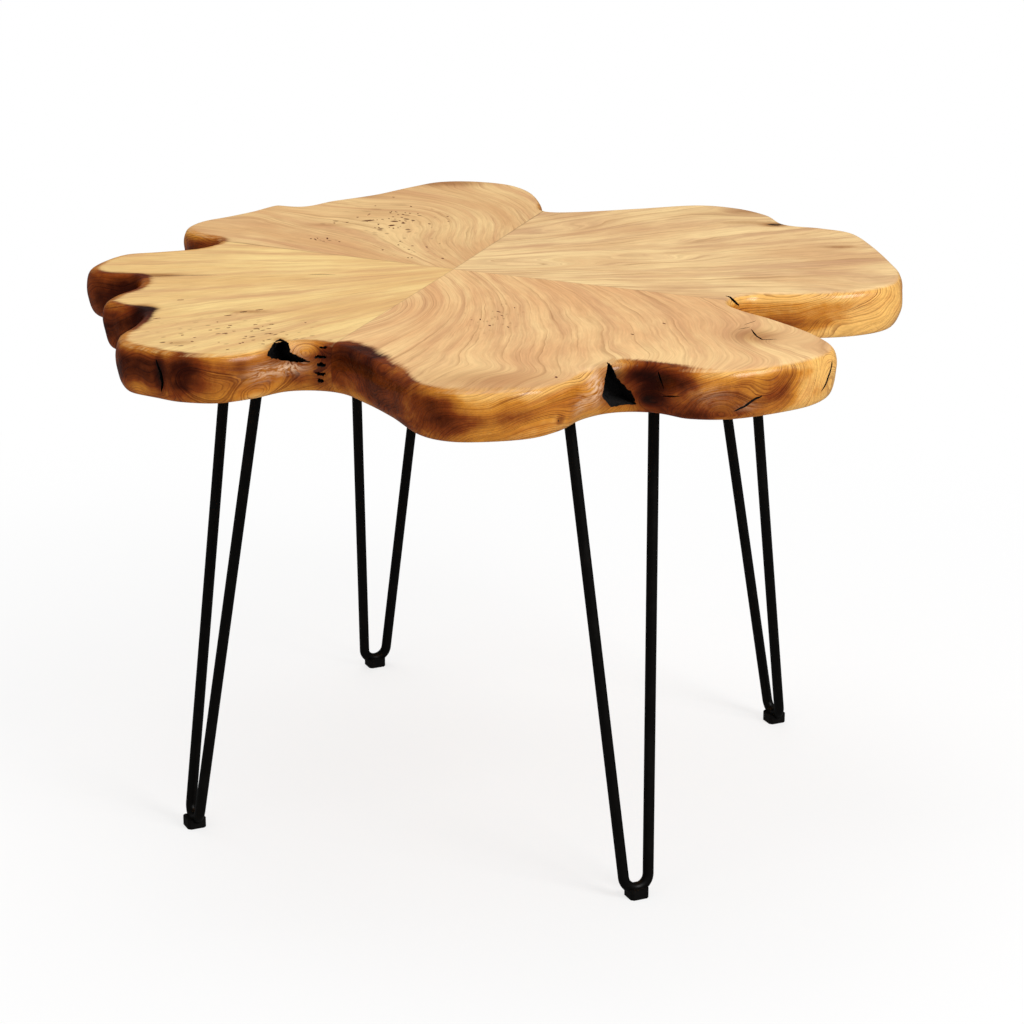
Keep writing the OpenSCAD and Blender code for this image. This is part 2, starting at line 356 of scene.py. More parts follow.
@dataclass(frozen=True)
class Swirl:
    """A place where the rings bend round a knot or a fork. Sizes are along its turn, across and up."""

    at: Place
    size: Place
    lift: float
    turn: float = 0

    def bend(self, points: np.ndarray) -> np.ndarray:
        """Works out how far it moves the rings.

        Args:
            points: Places, one row each, in metres.

        Returns:
            The move at each place, in metres.
        """
        gap = points - np.array(self.at) * MM
        turn = math.radians(self.turn)
        along = gap[:, 0] * math.cos(turn) + gap[:, 1] * math.sin(turn)
        across = gap[:, 1] * math.cos(turn) - gap[:, 0] * math.sin(turn)
        reach = np.array(self.size) * MM
        fade = (along / reach[0]) ** 2 + (across / reach[1]) ** 2 + (gap[:, 2] / reach[2]) ** 2
        return self.lift * MM * np.exp(-fade)


@dataclass(frozen=True)
class Figure:
    """How the rings of one slab run: they fan from behind the heart, lean as they go down, and swirl.

    Its layers lean the rings more, its pins are patches of pin knots, its stains are dark, and its bares
    are broken wood. Its tone and shade spots deepen the live edge's tone, or lighten it, partly as painted
    shade where the edge turns from the key lamp or lies under a ridge, and its wraps carry that tone in
    over the tabletop.
    """

    bearing: float
    behind: float = 60
    spread: float = 230
    bow: float = 0.0
    lean: float = 0.35
    roll: float = 7
    long_roll: float = 85 * MM
    short_roll: float = 34 * MM
    short_share: float = 0.35
    rim_share: float = 0.55
    rim_fall: float = 0.55
    swirls: tuple[Swirl, ...] = ()
    edge_swirls: tuple[Swirl, ...] = ()
    layers: tuple[Spot, ...] = ()
    pins: tuple[Spot, ...] = ()
    stains: tuple[Spot, ...] = ()
    bares: tuple[Spot, ...] = ()
    tone_and_shade_spots: tuple[Spot, ...] = ()
    wraps: tuple[Spot, ...] = ()

    def grain(self, points: np.ndarray, heart: np.ndarray, top: float) -> np.ndarray:
        """Finds the place in the grain of each place on the slab.

        Args:
            points: Places, one row each, in metres.
            heart: Where the slabs meet.
            top: Height of the tabletop.

        Returns:
            Across, along and down the grain at each place, in metres.
        """
        turn = math.radians(self.bearing)
        way = np.array([math.cos(turn), math.sin(turn)])
        gap = points[:, :2] - (heart - self.behind * MM * way)
        along, across = gap @ way, gap @ np.array([-way[1], way[0]])
        reach = np.hypot(along, across)
        down = top - points[:, 2]
        fan = np.arctan2(across, along) - self.bow * reach ** 2
        rings = self.spread * MM * fan + self.lean * down
        for swirl in self.swirls:
            rings += swirl.bend(points)
        for layer in self.layers:
            rings += layer.mask(points) * down
        return np.column_stack([rings, reach, down])

    def rim_grain(self, points: np.ndarray, grain: np.ndarray) -> np.ndarray:
        """Runs the rings out on the live edge, where they are cut almost flat and close into loops.

        Args:
            points: Places, one row each, in metres.
            grain: Their places in the slab's own grain.

        Returns:
            Across, along and down the grain of the edge at each place, in metres.
        """
        long_rolls = wander(points, self.long_roll, Seed.LONG_ROLLS)
        short_rolls = wander(points, self.short_roll, Seed.SHORT_ROLLS)
        rolling = self.roll * MM * (long_rolls + self.short_share * short_rolls)
        rings = self.rim_share * grain[:, 0] + self.rim_fall * grain[:, 2] + rolling
        for swirl in self.edge_swirls:
            rings += swirl.bend(points)
        return np.column_stack([rings, grain[:, 1], grain[:, 2]])


@dataclass(frozen=True)
class Cleft:
    """A pit or crack: a spindle along its mouth, with a half width across it and a depth into the wood."""

    path: tuple[Place, ...]
    width: float
    depth: float
    into: Place
    rough: float = 0.25
    taper: float = 1.2
    sides: int = 10
    loops_per_point: int = 4
    fewest_loops: int = 7

    def cut(self, mesh: bmesh.types.BMesh, seed: int) -> None:
        """Adds the spindle to a mesh of cutters, closed at both ends.

        Args:
            mesh: The mesh to add to.
            seed: Start of the draws that roughen it.
        """
        path = np.array(self.path, float) * MM
        count = max(self.fewest_loops, self.loops_per_point * len(path))
        line = between(path, (1 - np.cos(np.linspace(0, math.pi, count))) / 2 * (len(path) - 1))
        into = np.array(self.into, float)
        into /= np.linalg.norm(into)
        draw = np.random.default_rng(seed)
        loops = []
        for index in range(1, count - 1):
            across = np.cross(into, line[index + 1] - line[index - 1])
            across /= np.linalg.norm(across)
            share = math.sin(math.pi * index / (count - 1)) ** self.taper
            loop = []
            for turn in np.arange(self.sides) * 2 * math.pi / self.sides:
                uneven = 1 + self.rough * draw.uniform(-1, 1)
                side = math.cos(turn) * self.width * MM * share * uneven * across
                deep = math.sin(turn) * self.depth * MM * share * uneven * into
                loop.append(mesh.verts.new(line[index] + side + deep))
            loops.append(loop)
        ends = [mesh.verts.new(line[0]), mesh.verts.new(line[-1])]
        faces = skin(mesh, loops)
        for index in range(self.sides):
            faces.append(mesh.faces.new((loops[0][index], loops[0][index - 1], ends[0])))
            faces.append(mesh.faces.new((loops[-1][index - 1], loops[-1][index], ends[1])))
        bmesh.ops.recalc_face_normals(mesh, faces=faces)


@dataclass(frozen=True)
class Pocket:
    """A hollow with a many-cornered mouth on the edge. Its corners are across the mouth and up."""

    at: Place
    bearing: float
    corners: tuple[tuple[float, float], ...]
    depth: float
    out: float = 14
    slope: float = 0
    draw_in: float = 0.35
    rough: float = 0.35
    levels: int = 7
    per_side: int = 8

    def cut(self, mesh: bmesh.types.BMesh, seed: int) -> None:
        """Adds the hollow to a mesh of cutters, drawn in and roughened towards its end.

        Args:
            mesh: The mesh to add to.
            seed: Start of the draws that roughen it.
        """
        corners = np.array(self.corners + self.corners[:1], float)
        spots = np.linspace(0, len(self.corners), self.per_side * len(self.corners), endpoint=False)
        mouth = between(corners, spots)
        turn, dip = math.radians(self.bearing), math.radians(self.slope)
        out = np.array([math.cos(turn) * math.cos(dip), math.sin(turn) * math.cos(dip), math.sin(dip)])
        across = np.array([-math.sin(turn), math.cos(turn), 0])
        up = np.cross(out, across)
        draw = np.random.default_rng(seed)
        middle = mouth.mean(0)
        loops = []
        for level in np.linspace(0, 1, self.levels):
            reach = self.out - level * (self.out + self.depth)
            shrink = 1 - self.draw_in * max(0, -reach / self.depth) ** 2
            loop = []
            for spot in mouth:
                uneven = draw.normal(size=2) * self.rough if reach < self.out else np.zeros(2)
                flat = middle + (spot - middle) * shrink + uneven
                place = np.array(self.at) + reach * out + flat[0] * across + flat[1] * up
                loop.append(mesh.verts.new(place * MM))
            loops.append(loop)
        faces = [mesh.faces.new(loops[0]), mesh.faces.new(list(reversed(loops[-1])))]
        faces += skin(mesh, loops)
        bmesh.ops.recalc_face_normals(mesh, faces=faces)


@dataclass(frozen=True)
class Bores:
    """The round holes in the slabs: for the dowels across the seams and for the leg plates' screws."""

    dowel_first: float = 60
    dowel_pitch: float = 75
    dowel_count: int = 3
    dowel_across: float = 10.2
    dowel_long: float = 51.6
    dowel_level: float = 496.7
    pilot_across: float = 4.7
    pilot_low: float = 470.7
    pilot_high: float = 494.8
    leg_turn: float = -20.5
    foot_reach: float = 326
    splay: float = 64
    leg_forward: float = 24
    screws: tuple[tuple[float, float], ...] = ((-53, -14), (-53, 14), (0, 0), (53, -14), (53, 14))
    sides: int = 20

    def cut(self, mesh: bmesh.types.BMesh, heart: np.ndarray, seams: list[np.ndarray]) -> None:
        """Adds the holes to a mesh of cutters.

        Args:
            mesh: The mesh to add to.
            heart: Where the slabs meet, in metres.
            seams: Which way each seam of this slab runs from there.
        """
        for way in seams:
            for number in range(self.dowel_count):
                reach = (self.dowel_first + number * self.dowel_pitch) * MM
                middle = Vector((*(heart + way * reach), self.dowel_level * MM))
                self.bore(mesh, middle, Vector((-way[1], way[0], 0)), self.dowel_across, self.dowel_long)
        pilot_long = self.pilot_high - self.pilot_low
        level = Vector((0, 0, (self.pilot_low + self.pilot_high) / 2))
        for leg in range(len(Corner)):
            turn = math.radians(self.leg_turn - 45 + 90 * leg)
            out = Vector((math.cos(turn), math.sin(turn), 0))
            side = Vector((-math.sin(turn), math.cos(turn), 0))
            plate = out * (self.foot_reach - self.splay) - Vector((0, self.leg_forward, 0))
            for along, across in self.screws:
                middle = (plate + side * along + out * across + level) * MM
                self.bore(mesh, middle, Vector((0, 0, 1)), self.pilot_across, pilot_long)

    def bore(self, mesh: bmesh.types.BMesh, middle: Vector, way: Vector, across: float, long: float) -> None:
        """Adds one round cutter.

        Args:
            mesh: The mesh to add to.
            middle: Its middle, in metres.
            way: The direction that it runs in.
            across: Its width, in millimetres.
            long: Its length, in millimetres.
        """
        turn = way.to_track_quat("Z", "Y").to_matrix().to_4x4()
        turn.translation = middle
        bmesh.ops.create_cone(mesh, cap_ends=True, segments=self.sides, radius1=across / 2 * MM,
                              radius2=across / 2 * MM, depth=long * MM, matrix=turn)


@dataclass(frozen=True)
class Pattern:
    """A noise pattern: its waves in a metre along each axis, and the levels where it starts and is full."""

    waves: Place
    detail: float
    rough: float
    levels: tuple[float, float] | None = None


# Numbers of the sockets with which a Mix node takes its share and its two colours, and gives the result
MIX_SHARE, MIX_FIRST, MIX_SECOND, MIX_RESULT = 0, 6, 7, 2


class Board:
    """A node tree being wired, with a short call for each kind of node that the finishes use."""

    def __init__(self, tree: bpy.types.NodeTree) -> None:
        """Starts with the tree as it is."""
        self.tree = tree

    def feed(self, socket: Socket, value: Feed) -> None:
        """Links a socket to another, or sets its own value.

        Args:
            socket: The socket that takes the value.
            value: Another socket, or the value itself.
        """
        if isinstance(value, bpy.types.NodeSocket):
            self.tree.links.new(value, socket)
        else:
            socket.default_value = value

    def node(self, kind: str, settings: dict[str, object] | None = None, **inputs: Feed) -> bpy.types.Node:
        """Adds a node.

        Args:
            kind: Blender's name of the node type.
            settings: Properties of the node itself.
            **inputs: Values or sockets for its inputs, with _ for a space in their names.

        Returns:
            The new node.
        """
        made = self.tree.nodes.new(kind)
        for name, value in (settings or {}).items():
            setattr(made, name, value)
        for name, value in inputs.items():
            self.feed(made.inputs[name.replace("_", " ")], value)
        return made

    def group(self, tree: bpy.types.NodeTree, **inputs: Feed) -> bpy.types.NodeOutputs:
        """Places a node group with its own values, and gives its outputs."""
        return self.node("ShaderNodeGroup", {"node_tree": tree}, **inputs).outputs

    def math(self, operation: str, first: Feed, second: Feed = 0.0, clamp: bool = False) -> Socket:
        """Does one step of arithmetic on two numbers.

        Args:
            operation: Blender's name of the step.
            first: The first number.
            second: The second number.
            clamp: Whether the result is held between 0 and 1.

        Returns:
            The result.
        """
        made = self.node("ShaderNodeMath", {"operation": operation, "use_clamp": clamp})
        self.feed(made.inputs[0], first)
        self.feed(made.inputs[1], second)
        return made.outputs[0]

    def step(self, value: Feed, low: float, high: float, bottom: float = 0.0, top: float = 1.0) -> Socket:
        """Rises smoothly from bottom to top as a value goes from low to high.

        Args:
            value: The value.
            low: Where the rise starts.
            high: Where it ends.
            bottom: The result at low.
            top: The result at high.

        Returns:
            The result.
        """
        made = self.node("ShaderNodeMapRange", {"interpolation_type": "SMOOTHSTEP"}, Value=value)
        for name, number in (("From Min", low), ("From Max", high), ("To Min", bottom), ("To Max", top)):
            made.inputs[name].default_value = number
        return made.outputs[0]

    def mix(self, share: Feed, first: Feed, second: Feed, way: str = "MIX") -> Socket:
        """Mixes two colours.

        Args:
            share: Share of the second colour, from 0 to 1.
            first: The first colour.
            second: The second colour.
            way: Blender's name of the way in which they mix.

        Returns:
            The mixed colour.
        """
        made = self.node("ShaderNodeMix", {"data_type": "RGBA", "blend_type": way})
        for number, value in ((MIX_SHARE, share), (MIX_FIRST, first), (MIX_SECOND, second)):
            self.feed(made.inputs[number], value)
        return made.outputs[MIX_RESULT]

    def tint(self, colour: Feed, by: Feed) -> Socket:
        """Multiplies one colour by another."""
        return self.mix(1.0, colour, by, "MULTIPLY")

    def grey(self, value: Feed) -> Socket:
        """A number as a grey colour."""
        return self.node("ShaderNodeCombineColor", None, Red=value, Green=value, Blue=value).outputs[0]

    def noise(self, place: Feed, detail: float, rough: float, scale: Feed = 1.0) -> Socket:
        """Smooth noise in space, from 0 to 1."""
        return self.node("ShaderNodeTexNoise", None, Vector=place, Scale=scale, Detail=detail,
                         Roughness=rough).outputs["Fac"]

    def vector(self, across: Feed, along: Feed, down: Feed) -> Socket:
        """Three numbers as one vector."""
        return self.node("ShaderNodeCombineXYZ", None, X=across, Y=along, Z=down).outputs[0]

    def stretch(self, place: Feed, by: Place, shift: Feed = (0, 0, 0)) -> Socket:
        """Scales a place along each axis, then shifts it.

        Args:
            place: The place.
            by: Scale along each axis.
            shift: The shift that is added.

        Returns:
            The new place.
        """
        scaled = self.node("ShaderNodeVectorMath", {"operation": "MULTIPLY"})
        self.feed(scaled.inputs[0], place)
        scaled.inputs[1].default_value = by
        moved = self.node("ShaderNodeVectorMath", {"operation": "ADD"})
        self.feed(moved.inputs[0], scaled.outputs[0])
        self.feed(moved.inputs[1], shift)
        return moved.outputs[0]

    def pattern(self, pattern: Pattern, place: Feed, shift: Feed = (0, 0, 0)) -> Socket:
        """Draws a noise pattern in space.

        Args:
            pattern: The pattern.
            place: The place on the object or in its grain.
            shift: A shift in waves, which gives another drawing of the same kind.

        Returns:
            Its strength, from 0 to 1.
        """
        noise = self.noise(self.stretch(place, pattern.waves, shift), pattern.detail, pattern.rough)
        return self.step(noise, *pattern.levels) if pattern.levels else noise

    def bump(self, shader: bpy.types.Node, height: Socket, strength: float, distance: float) -> None:
        """Gives a shader its relief, from a height."""
        made = self.node("ShaderNodeBump", None, Height=height, Strength=strength, Distance=distance)
        self.feed(shader.inputs["Normal"], made.outputs[0])

    def reading(self, name: str, output: str = "Fac") -> Socket:
        """Reads one of the mesh's own attributes."""
        return self.node("ShaderNodeAttribute", {"attribute_name": name}).outputs[output]

    def place(self) -> Socket:
        """The place on the object, in metres."""
        return self.node("ShaderNodeTexCoord").outputs["Object"]


def new_group(name: str, inputs: dict[str, tuple[str, Feed]],
              outputs: tuple[str, ...]) -> tuple[Board, dict[str, Socket], dict[str, Socket]]:
    """Makes an empty shader node group.

    Args:
        name: The group's name.
        inputs: Socket type and starting value of each input, by name.
        outputs: Names of its outputs, which are all numbers.

    Returns:
        Its board, the sockets that bring the inputs in, and the sockets that take the outputs.
    """
    tree = bpy.data.node_groups.new(name, "ShaderNodeTree")
    for label, (kind, value) in inputs.items():
        made = tree.interface.new_socket(label, in_out="INPUT", socket_type=kind)
        made.default_value = value
    for label in outputs:
        tree.interface.new_socket(label, in_out="OUTPUT", socket_type=NUMBER)
    board = Board(tree)
    entry, leave = board.node("NodeGroupInput"), board.node("NodeGroupOutput")
    given = {socket.name: socket for socket in entry.outputs if socket.name}
    out = {socket.name: socket for socket in leave.inputs if socket.name}
    return board, given, out


def new_finish(name: str) -> tuple[bpy.types.Material, Board, bpy.types.Node]:
    """Starts a material.

    Args:
        name: The material's name.

    Returns:
        The material, the board of its nodes, and its shader.
    """
    made = bpy.data.materials.new(name)
    made.use_nodes = True
    return made, Board(made.node_tree), made.node_tree.nodes["Principled BSDF"]


# Patterns of the wood's figure, across, along and down the grain
BROAD_SWAY = Pattern((16, 8, 22), 3, 0.5)
SMALL_SWAY = Pattern((75, 34, 90), 2, 0.5)
LINE_FORCE = Pattern((90, 9, 50), 2, 0.5, (0.36, 0.72))
STREAKS = Pattern((62, 5.5, 40), 5, 0.6, (0.42, 0.72))
CLOUDS = Pattern((17, 6.5, 16), 5, 0.58, (0.32, 0.68))
FIBRE = Pattern((560, 34, 300), 4, 0.65)
# Pin knots: cells in a metre, how far out from a cell's middle a knot fades, and how few cells have one
PIN_CELLS = (170, 75, 190)
PIN_FADE = (0.14, 0.3)
PIN_CHANCE = (0.45, 0.5)
# How strongly the small sway counts beside the broad one, and how far both carry the rings
SMALL_SHARE = 0.24
SWAY_REACH = 4
# How uneven the rings are in width, how fast that changes from ring to ring, and how each line darkens
# towards its end and then stops
RING_UNEVEN = 3.2
UNEVEN_SCALE = 0.45
UNEVEN_DETAIL = 2.0
LINE_SHARPNESS = 4.0
LINE_STOP = (0.9, 1.0)
LINE_STRENGTH = 1.7


def wood_figure_group() -> bpy.types.NodeTree:
    """Builds the group that draws wood from a place in the grain.

    Returns:
        The group, which puts out ring lines, streaks, clouds, fibre and pin knots.
    """
    board, given, out = new_group(
        "wood_figure",
        {"Grain": (VECTOR, (0, 0, 0)), "Ring Width": (NUMBER, 0.007), "Wander": (NUMBER, 0.006),
         "Cover": (NUMBER, 0.06), "Seed": (NUMBER, 0.0)},
        ("Rings", "Streaks", "Clouds", "Fibre", "Pins"))
    shift = board.vector(given["Seed"], given["Seed"], given["Seed"])
    grain = board.node("ShaderNodeSeparateXYZ", None, Vector=given["Grain"])
    broad = board.math("SUBTRACT", board.pattern(BROAD_SWAY, given["Grain"], shift), 0.5)
    small = board.math("SUBTRACT", board.pattern(SMALL_SWAY, given["Grain"], shift), 0.5)
    sway = board.math("ADD", broad, board.math("MULTIPLY", small, SMALL_SHARE))
    reach = board.math("MULTIPLY", given["Wander"], SWAY_REACH)
    across = board.math("ADD", grain.outputs[0], board.math("MULTIPLY", sway, reach))
    bent = board.vector(across, grain.outputs[1], grain.outputs[2])
    ring = board.math("DIVIDE", across, given["Ring Width"])
    uneven = board.node("ShaderNodeTexNoise", {"noise_dimensions": "1D"},
                        W=board.math("ADD", ring, given["Seed"]), Scale=UNEVEN_SCALE,
                        Detail=UNEVEN_DETAIL)
    shifted = board.math("MULTIPLY", uneven.outputs["Fac"], RING_UNEVEN)
    part = board.math("FRACT", board.math("ADD", ring, shifted))
    late = board.math("MULTIPLY", board.math("POWER", part, LINE_SHARPNESS),
                      board.step(part, *LINE_STOP, 1.0, 0.0))
    force = board.math("MAXIMUM", board.pattern(LINE_FORCE, bent, shift), given["Cover"])
    lines = board.math("MULTIPLY", late, LINE_STRENGTH)
    board.feed(out["Rings"], board.math("MULTIPLY", lines, force, clamp=True))
    board.feed(out["Streaks"], board.pattern(STREAKS, bent, shift))
    board.feed(out["Clouds"], board.pattern(CLOUDS, bent, shift))
    board.feed(out["Fibre"], board.pattern(FIBRE, bent, shift))
    cells = board.node("ShaderNodeTexVoronoi", None, Vector=board.stretch(bent, PIN_CELLS, shift), Scale=1.0)
    chance = board.node("ShaderNodeSeparateColor", None, Color=cells.outputs["Color"]).outputs[0]
    knots = board.step(cells.outputs["Distance"], *PIN_FADE, 1.0, 0.0)
    board.feed(out["Pins"], board.math("MULTIPLY", knots, board.step(chance, *PIN_CHANCE)))
    return board.tree


# Waves in a metre of the blots and patches on the live edge, and how strongly they count
BLOTS, BLOT_SHARE = 70, 0.5
PATCHES, PATCH_SHARE = 26, 0.75
# Fibres along the grain, and upright mottling
EDGE_FIBRES = Pattern((430, 28, 120), 3, 0.6)
MOTTLE = Pattern((120, 120, 45), 3, 0.55)
# How ragged the line between planed top and live edge is, in metres and as a share of the haze
RAGGED_LINE = 1.8 * MM
RAGGED_HAZE = 0.7
# Depths under the tabletop, and strengths of haze, at which the live edge starts and at which it is full
EDGE_DEPTHS = (0.2 * MM, 2.6 * MM)
EDGE_HAZES = (0.25, 0.85)


def edge_tone_group() -> bpy.types.NodeTree:
    """Builds the group that tells the planed top from the oiled live edge, with the edge's deep tones, which
    are partly painted shade.

    Returns:
        The group, which puts out where the live edge is, how deep its tone is, and its mottling.
    """
    board, given, out = new_group(
        "edge_tone",
        {"Place": (VECTOR, (0, 0, 0)), "Grain": (VECTOR, (0, 0, 0)), "Tabletop": (NUMBER, 0.5207),
         "Tone": (NUMBER, 0.0), "Haze": (NUMBER, 0.0)},
        ("Side", "Deep", "Mottle"))
    height = board.node("ShaderNodeSeparateXYZ", None, Vector=given["Place"]).outputs[2]
    down = board.math("SUBTRACT", given["Tabletop"], height)
    blots = board.math("SUBTRACT", board.noise(given["Place"], detail=4, rough=0.65, scale=BLOTS), 0.5)
    fibres = board.math("SUBTRACT", board.pattern(EDGE_FIBRES, given["Grain"]), 0.5)
    ragged = board.math("ADD", board.math("MULTIPLY", blots, BLOT_SHARE), fibres)
    turned = board.math("ADD", down, board.math("MULTIPLY", ragged, RAGGED_LINE))
    hazed = board.math("ADD", given["Haze"], board.math("MULTIPLY", ragged, RAGGED_HAZE))
    board.feed(out["Side"], board.math("MAXIMUM", board.step(turned, *EDGE_DEPTHS),
                                       board.step(hazed, *EDGE_HAZES)))
    patch = board.math("SUBTRACT", board.noise(given["Place"], detail=5, rough=0.62, scale=PATCHES), 0.5)
    patchy = board.math("MULTIPLY", patch, PATCH_SHARE)
    board.feed(out["Deep"], board.math("ADD", given["Tone"], patchy, clamp=True))
    board.feed(out["Mottle"], board.pattern(MOTTLE, given["Place"]))
    return board.tree


# Waves in a metre of the dust on coated surfaces, and the levels where it starts and is full
DUST = 38
DUST_LEVELS = (0.45, 0.8)


def fine_relief_group() -> bpy.types.NodeTree:
    """Builds the group for the fine relief and dust of coated and moulded surfaces.

    Returns:
        The group, which puts out the relief's height and where dust lies.
    """
    board, given, out = new_group(
        "fine_relief", {"Place": (VECTOR, (0, 0, 0)), "Grain Size": (NUMBER, 0.001)}, ("Relief", "Dust"))
    scale = board.math("DIVIDE", 1.0, given["Grain Size"])
    board.feed(out["Relief"], board.noise(given["Place"], detail=3, rough=0.6, scale=scale))
    dust = board.noise(given["Place"], detail=5, rough=0.65, scale=DUST)
    board.feed(out["Dust"], board.step(dust, *DUST_LEVELS))
    return board.tree


@dataclass(frozen=True)
class SlabWood:
    """Clear-coated slab wood: honey planed top, amber live edge, with painted light and shade in the edge's
    tone.

    The edge runs from blond through gold and amber to near-black brown: the gold is partly painted light
    where the edge faces the key lamp, and the near-black brown partly painted shade on flanks turned away.

    A tint is what a colour is multiplied by, and a gain says how strongly something counts. Levels are
    where something starts and where it is full.
    """

    name: str
    pale: Colour = (240, 208, 146)
    warm: Colour = (222, 176, 120)
    streak: Colour = (200, 150, 106)
    line: Colour = (156, 108, 66)
    blond: Colour = (240, 186, 102)
    gold: Colour = (208, 136, 44)
    amber: Colour = (134, 60, 12)
    deep: Colour = (58, 15, 0)
    bare: Colour = (232, 190, 152)
    pin: Colour = (96, 52, 28)
    stain_tint: Colour = (176, 138, 104)
    stain_deep: Colour = (26, 12, 7)
    side_streak_tint: Colour = (206, 150, 118)
    side_line_tint: Colour = (136, 84, 52)
    gold_levels: tuple[float, float] = (0.0, 0.35)
    amber_levels: tuple[float, float] = (0.25, 0.7)
    deep_levels: tuple[float, float] = (0.55, 1.0)
    bare_levels: tuple[float, float] = (0.38, 0.6)
    tint_levels: tuple[float, float] = (0.0, 0.5)
    stain_levels: tuple[float, float] = (0.4, 1.0)
    stain_tinting: float = 0.75
    ring_width: float = 8.5 * MM
    wander: float = 5 * MM
    rim_ring: float = 2.3 * MM
    rim_wander: float = 3.5 * MM
    rim_seed: float = 20
    top_lines: float = 0.3
    top_cover: float = 0.1
    top_streaks: float = 0.72
    side_lines: float = 0.9
    side_cover: float = 0.55
    side_streaks: float = 0.45
    side_clouds: float = 0.34
    top_rough: float = 0.44
    side_smoother: float = 0.16
    streak_rough: float = 0.06
    top_coat: float = 0.03
    side_coat: float = 0.42
    coat_loss: float = 0.85
    coat_rough: float = 0.22
    specular: float = 0.08
    fibre_levels: tuple[float, float] = (0.25, 0.75)
    fibre_shades: tuple[float, float] = (0.88, 1.07)
    seam_reach: tuple[float, float] = (0.2 * MM, 0.9 * MM)
    seam_shade: float = 0.8
    groove_gain: float = -0.3
    rolling_gain: float = 1.25
    fibre_gain: float = 0.1
    relief_strength: float = 0.5
    relief: float = 1.2 * MM
    seed: float = 0.0

    def make(self, figure: bpy.types.NodeTree, tone: bpy.types.NodeTree) -> bpy.types.Material:
        """Builds the material around the two shared groups.

        Args:
            figure: The group that draws the wood.
            tone: The group that tells the top from the live edge.

        Returns:
            The finished material.
        """
        made, board, shader = new_finish(self.name)
        wood = board.group(figure, Grain=board.reading("grain", "Vector"), Ring_Width=self.ring_width,
                           Wander=self.wander, Cover=self.top_cover, Seed=self.seed)
        rim = board.group(figure, Grain=board.reading("rim", "Vector"), Ring_Width=self.rim_ring,
                          Wander=self.rim_wander, Cover=self.side_cover, Seed=self.seed + self.rim_seed)
        edge = board.group(tone, Place=board.place(), Grain=board.reading("grain", "Vector"),
                           Tone=board.reading("tone"), Haze=board.reading("haze"))
        colour = board.mix(edge["Side"], self.top(board, wood), self.rim(board, rim, edge["Deep"]))
        broken = board.step(rim["Fibre"], *self.bare_levels)
        broken = board.math("MULTIPLY", board.reading("bare"), broken, clamp=True)
        colour = self.stained(board, board.mix(broken, colour, linear(*self.bare)))
        fibre = board.step(wood["Fibre"], *self.fibre_levels, *self.fibre_shades)
        seam = board.step(board.reading("seam"), *self.seam_reach, self.seam_shade, 1.0)
        shade = board.math("MULTIPLY", fibre, seam)
        board.feed(shader.inputs["Base Color"], board.tint(colour, board.grey(shade)))
        self.gloss(board, shader, wood, edge)
        grooves = board.mix(edge["Side"], board.grey(wood["Rings"]), board.grey(rim["Rings"]))
        height = board.math("MULTIPLY", grooves, self.groove_gain)
        mottle = board.math("MULTIPLY", edge["Mottle"], edge["Side"])
        height = board.math("ADD", height, board.math("MULTIPLY", mottle, self.rolling_gain))
        height = board.math("ADD", height, board.math("MULTIPLY", wood["Fibre"], self.fibre_gain))
        board.bump(shader, height, self.relief_strength, self.relief)
        return made

    def gloss(self, board: Board, shader: bpy.types.Node, wood: bpy.types.NodeOutputs,
              edge: bpy.types.NodeOutputs) -> None:
        """Sets the sheen of the planed top and the clear coat of the live edge.

        Args:
            board: The material's nodes.
            shader: Its shader.
            wood: What the wood group puts out for the top.
            edge: What the edge group puts out.
        """
        smoother = board.math("MULTIPLY", edge["Side"], self.side_smoother)
        rough = board.math("SUBTRACT", self.top_rough, smoother)
        streaked = board.math("MULTIPLY", wood["Streaks"], self.streak_rough)
        board.feed(shader.inputs["Roughness"], board.math("ADD", rough, streaked))
        light = board.math("SUBTRACT", 1.0, board.math("MULTIPLY", edge["Deep"], self.coat_loss))
        coat = board.math("MULTIPLY", board.math("MULTIPLY", edge["Side"], light), self.side_coat)
        board.feed(shader.inputs["Coat Weight"], board.math("ADD", coat, self.top_coat))
        shader.inputs["Coat Roughness"].default_value = self.coat_rough
        shader.inputs["Specular IOR Level"].default_value = self.specular

    def stained(self, board: Board, colour: Socket) -> Socket:
        """Lays the stains over a colour: first a brown tint, then near black where they are strong.

        Args:
            board: The material's nodes.
            colour: The colour of the wood.

        Returns:
            The stained colour.
        """
        stain = board.reading("stain")
        tinted = board.tint(colour, linear(*self.stain_tint))
        share = board.step(stain, *self.tint_levels, 0.0, self.stain_tinting)
        colour = board.mix(share, colour, tinted)
        return board.mix(board.step(stain, *self.stain_levels), colour, linear(*self.stain_deep))

    def top(self, board: Board, wood: bpy.types.NodeOutputs) -> Socket:
        """Colours the planed top: honey and pinkish clouds, soft streaks, thin lines and pin knots.

        Args:
            board: The material's nodes.
            wood: What the wood group puts out for the top.

        Returns:
            The colour.
        """
        colour = board.mix(wood["Clouds"], linear(*self.pale), linear(*self.warm))
        streaks = board.math("MULTIPLY", wood["Streaks"], self.top_streaks)
        colour = board.mix(streaks, colour, linear(*self.streak))
        colour = board.mix(board.math("MULTIPLY", wood["Rings"], self.top_lines), colour, linear(*self.line))
        pins = board.math("MULTIPLY", wood["Pins"], board.reading("pins"), clamp=True)
        return board.mix(pins, colour, linear(*self.pin))

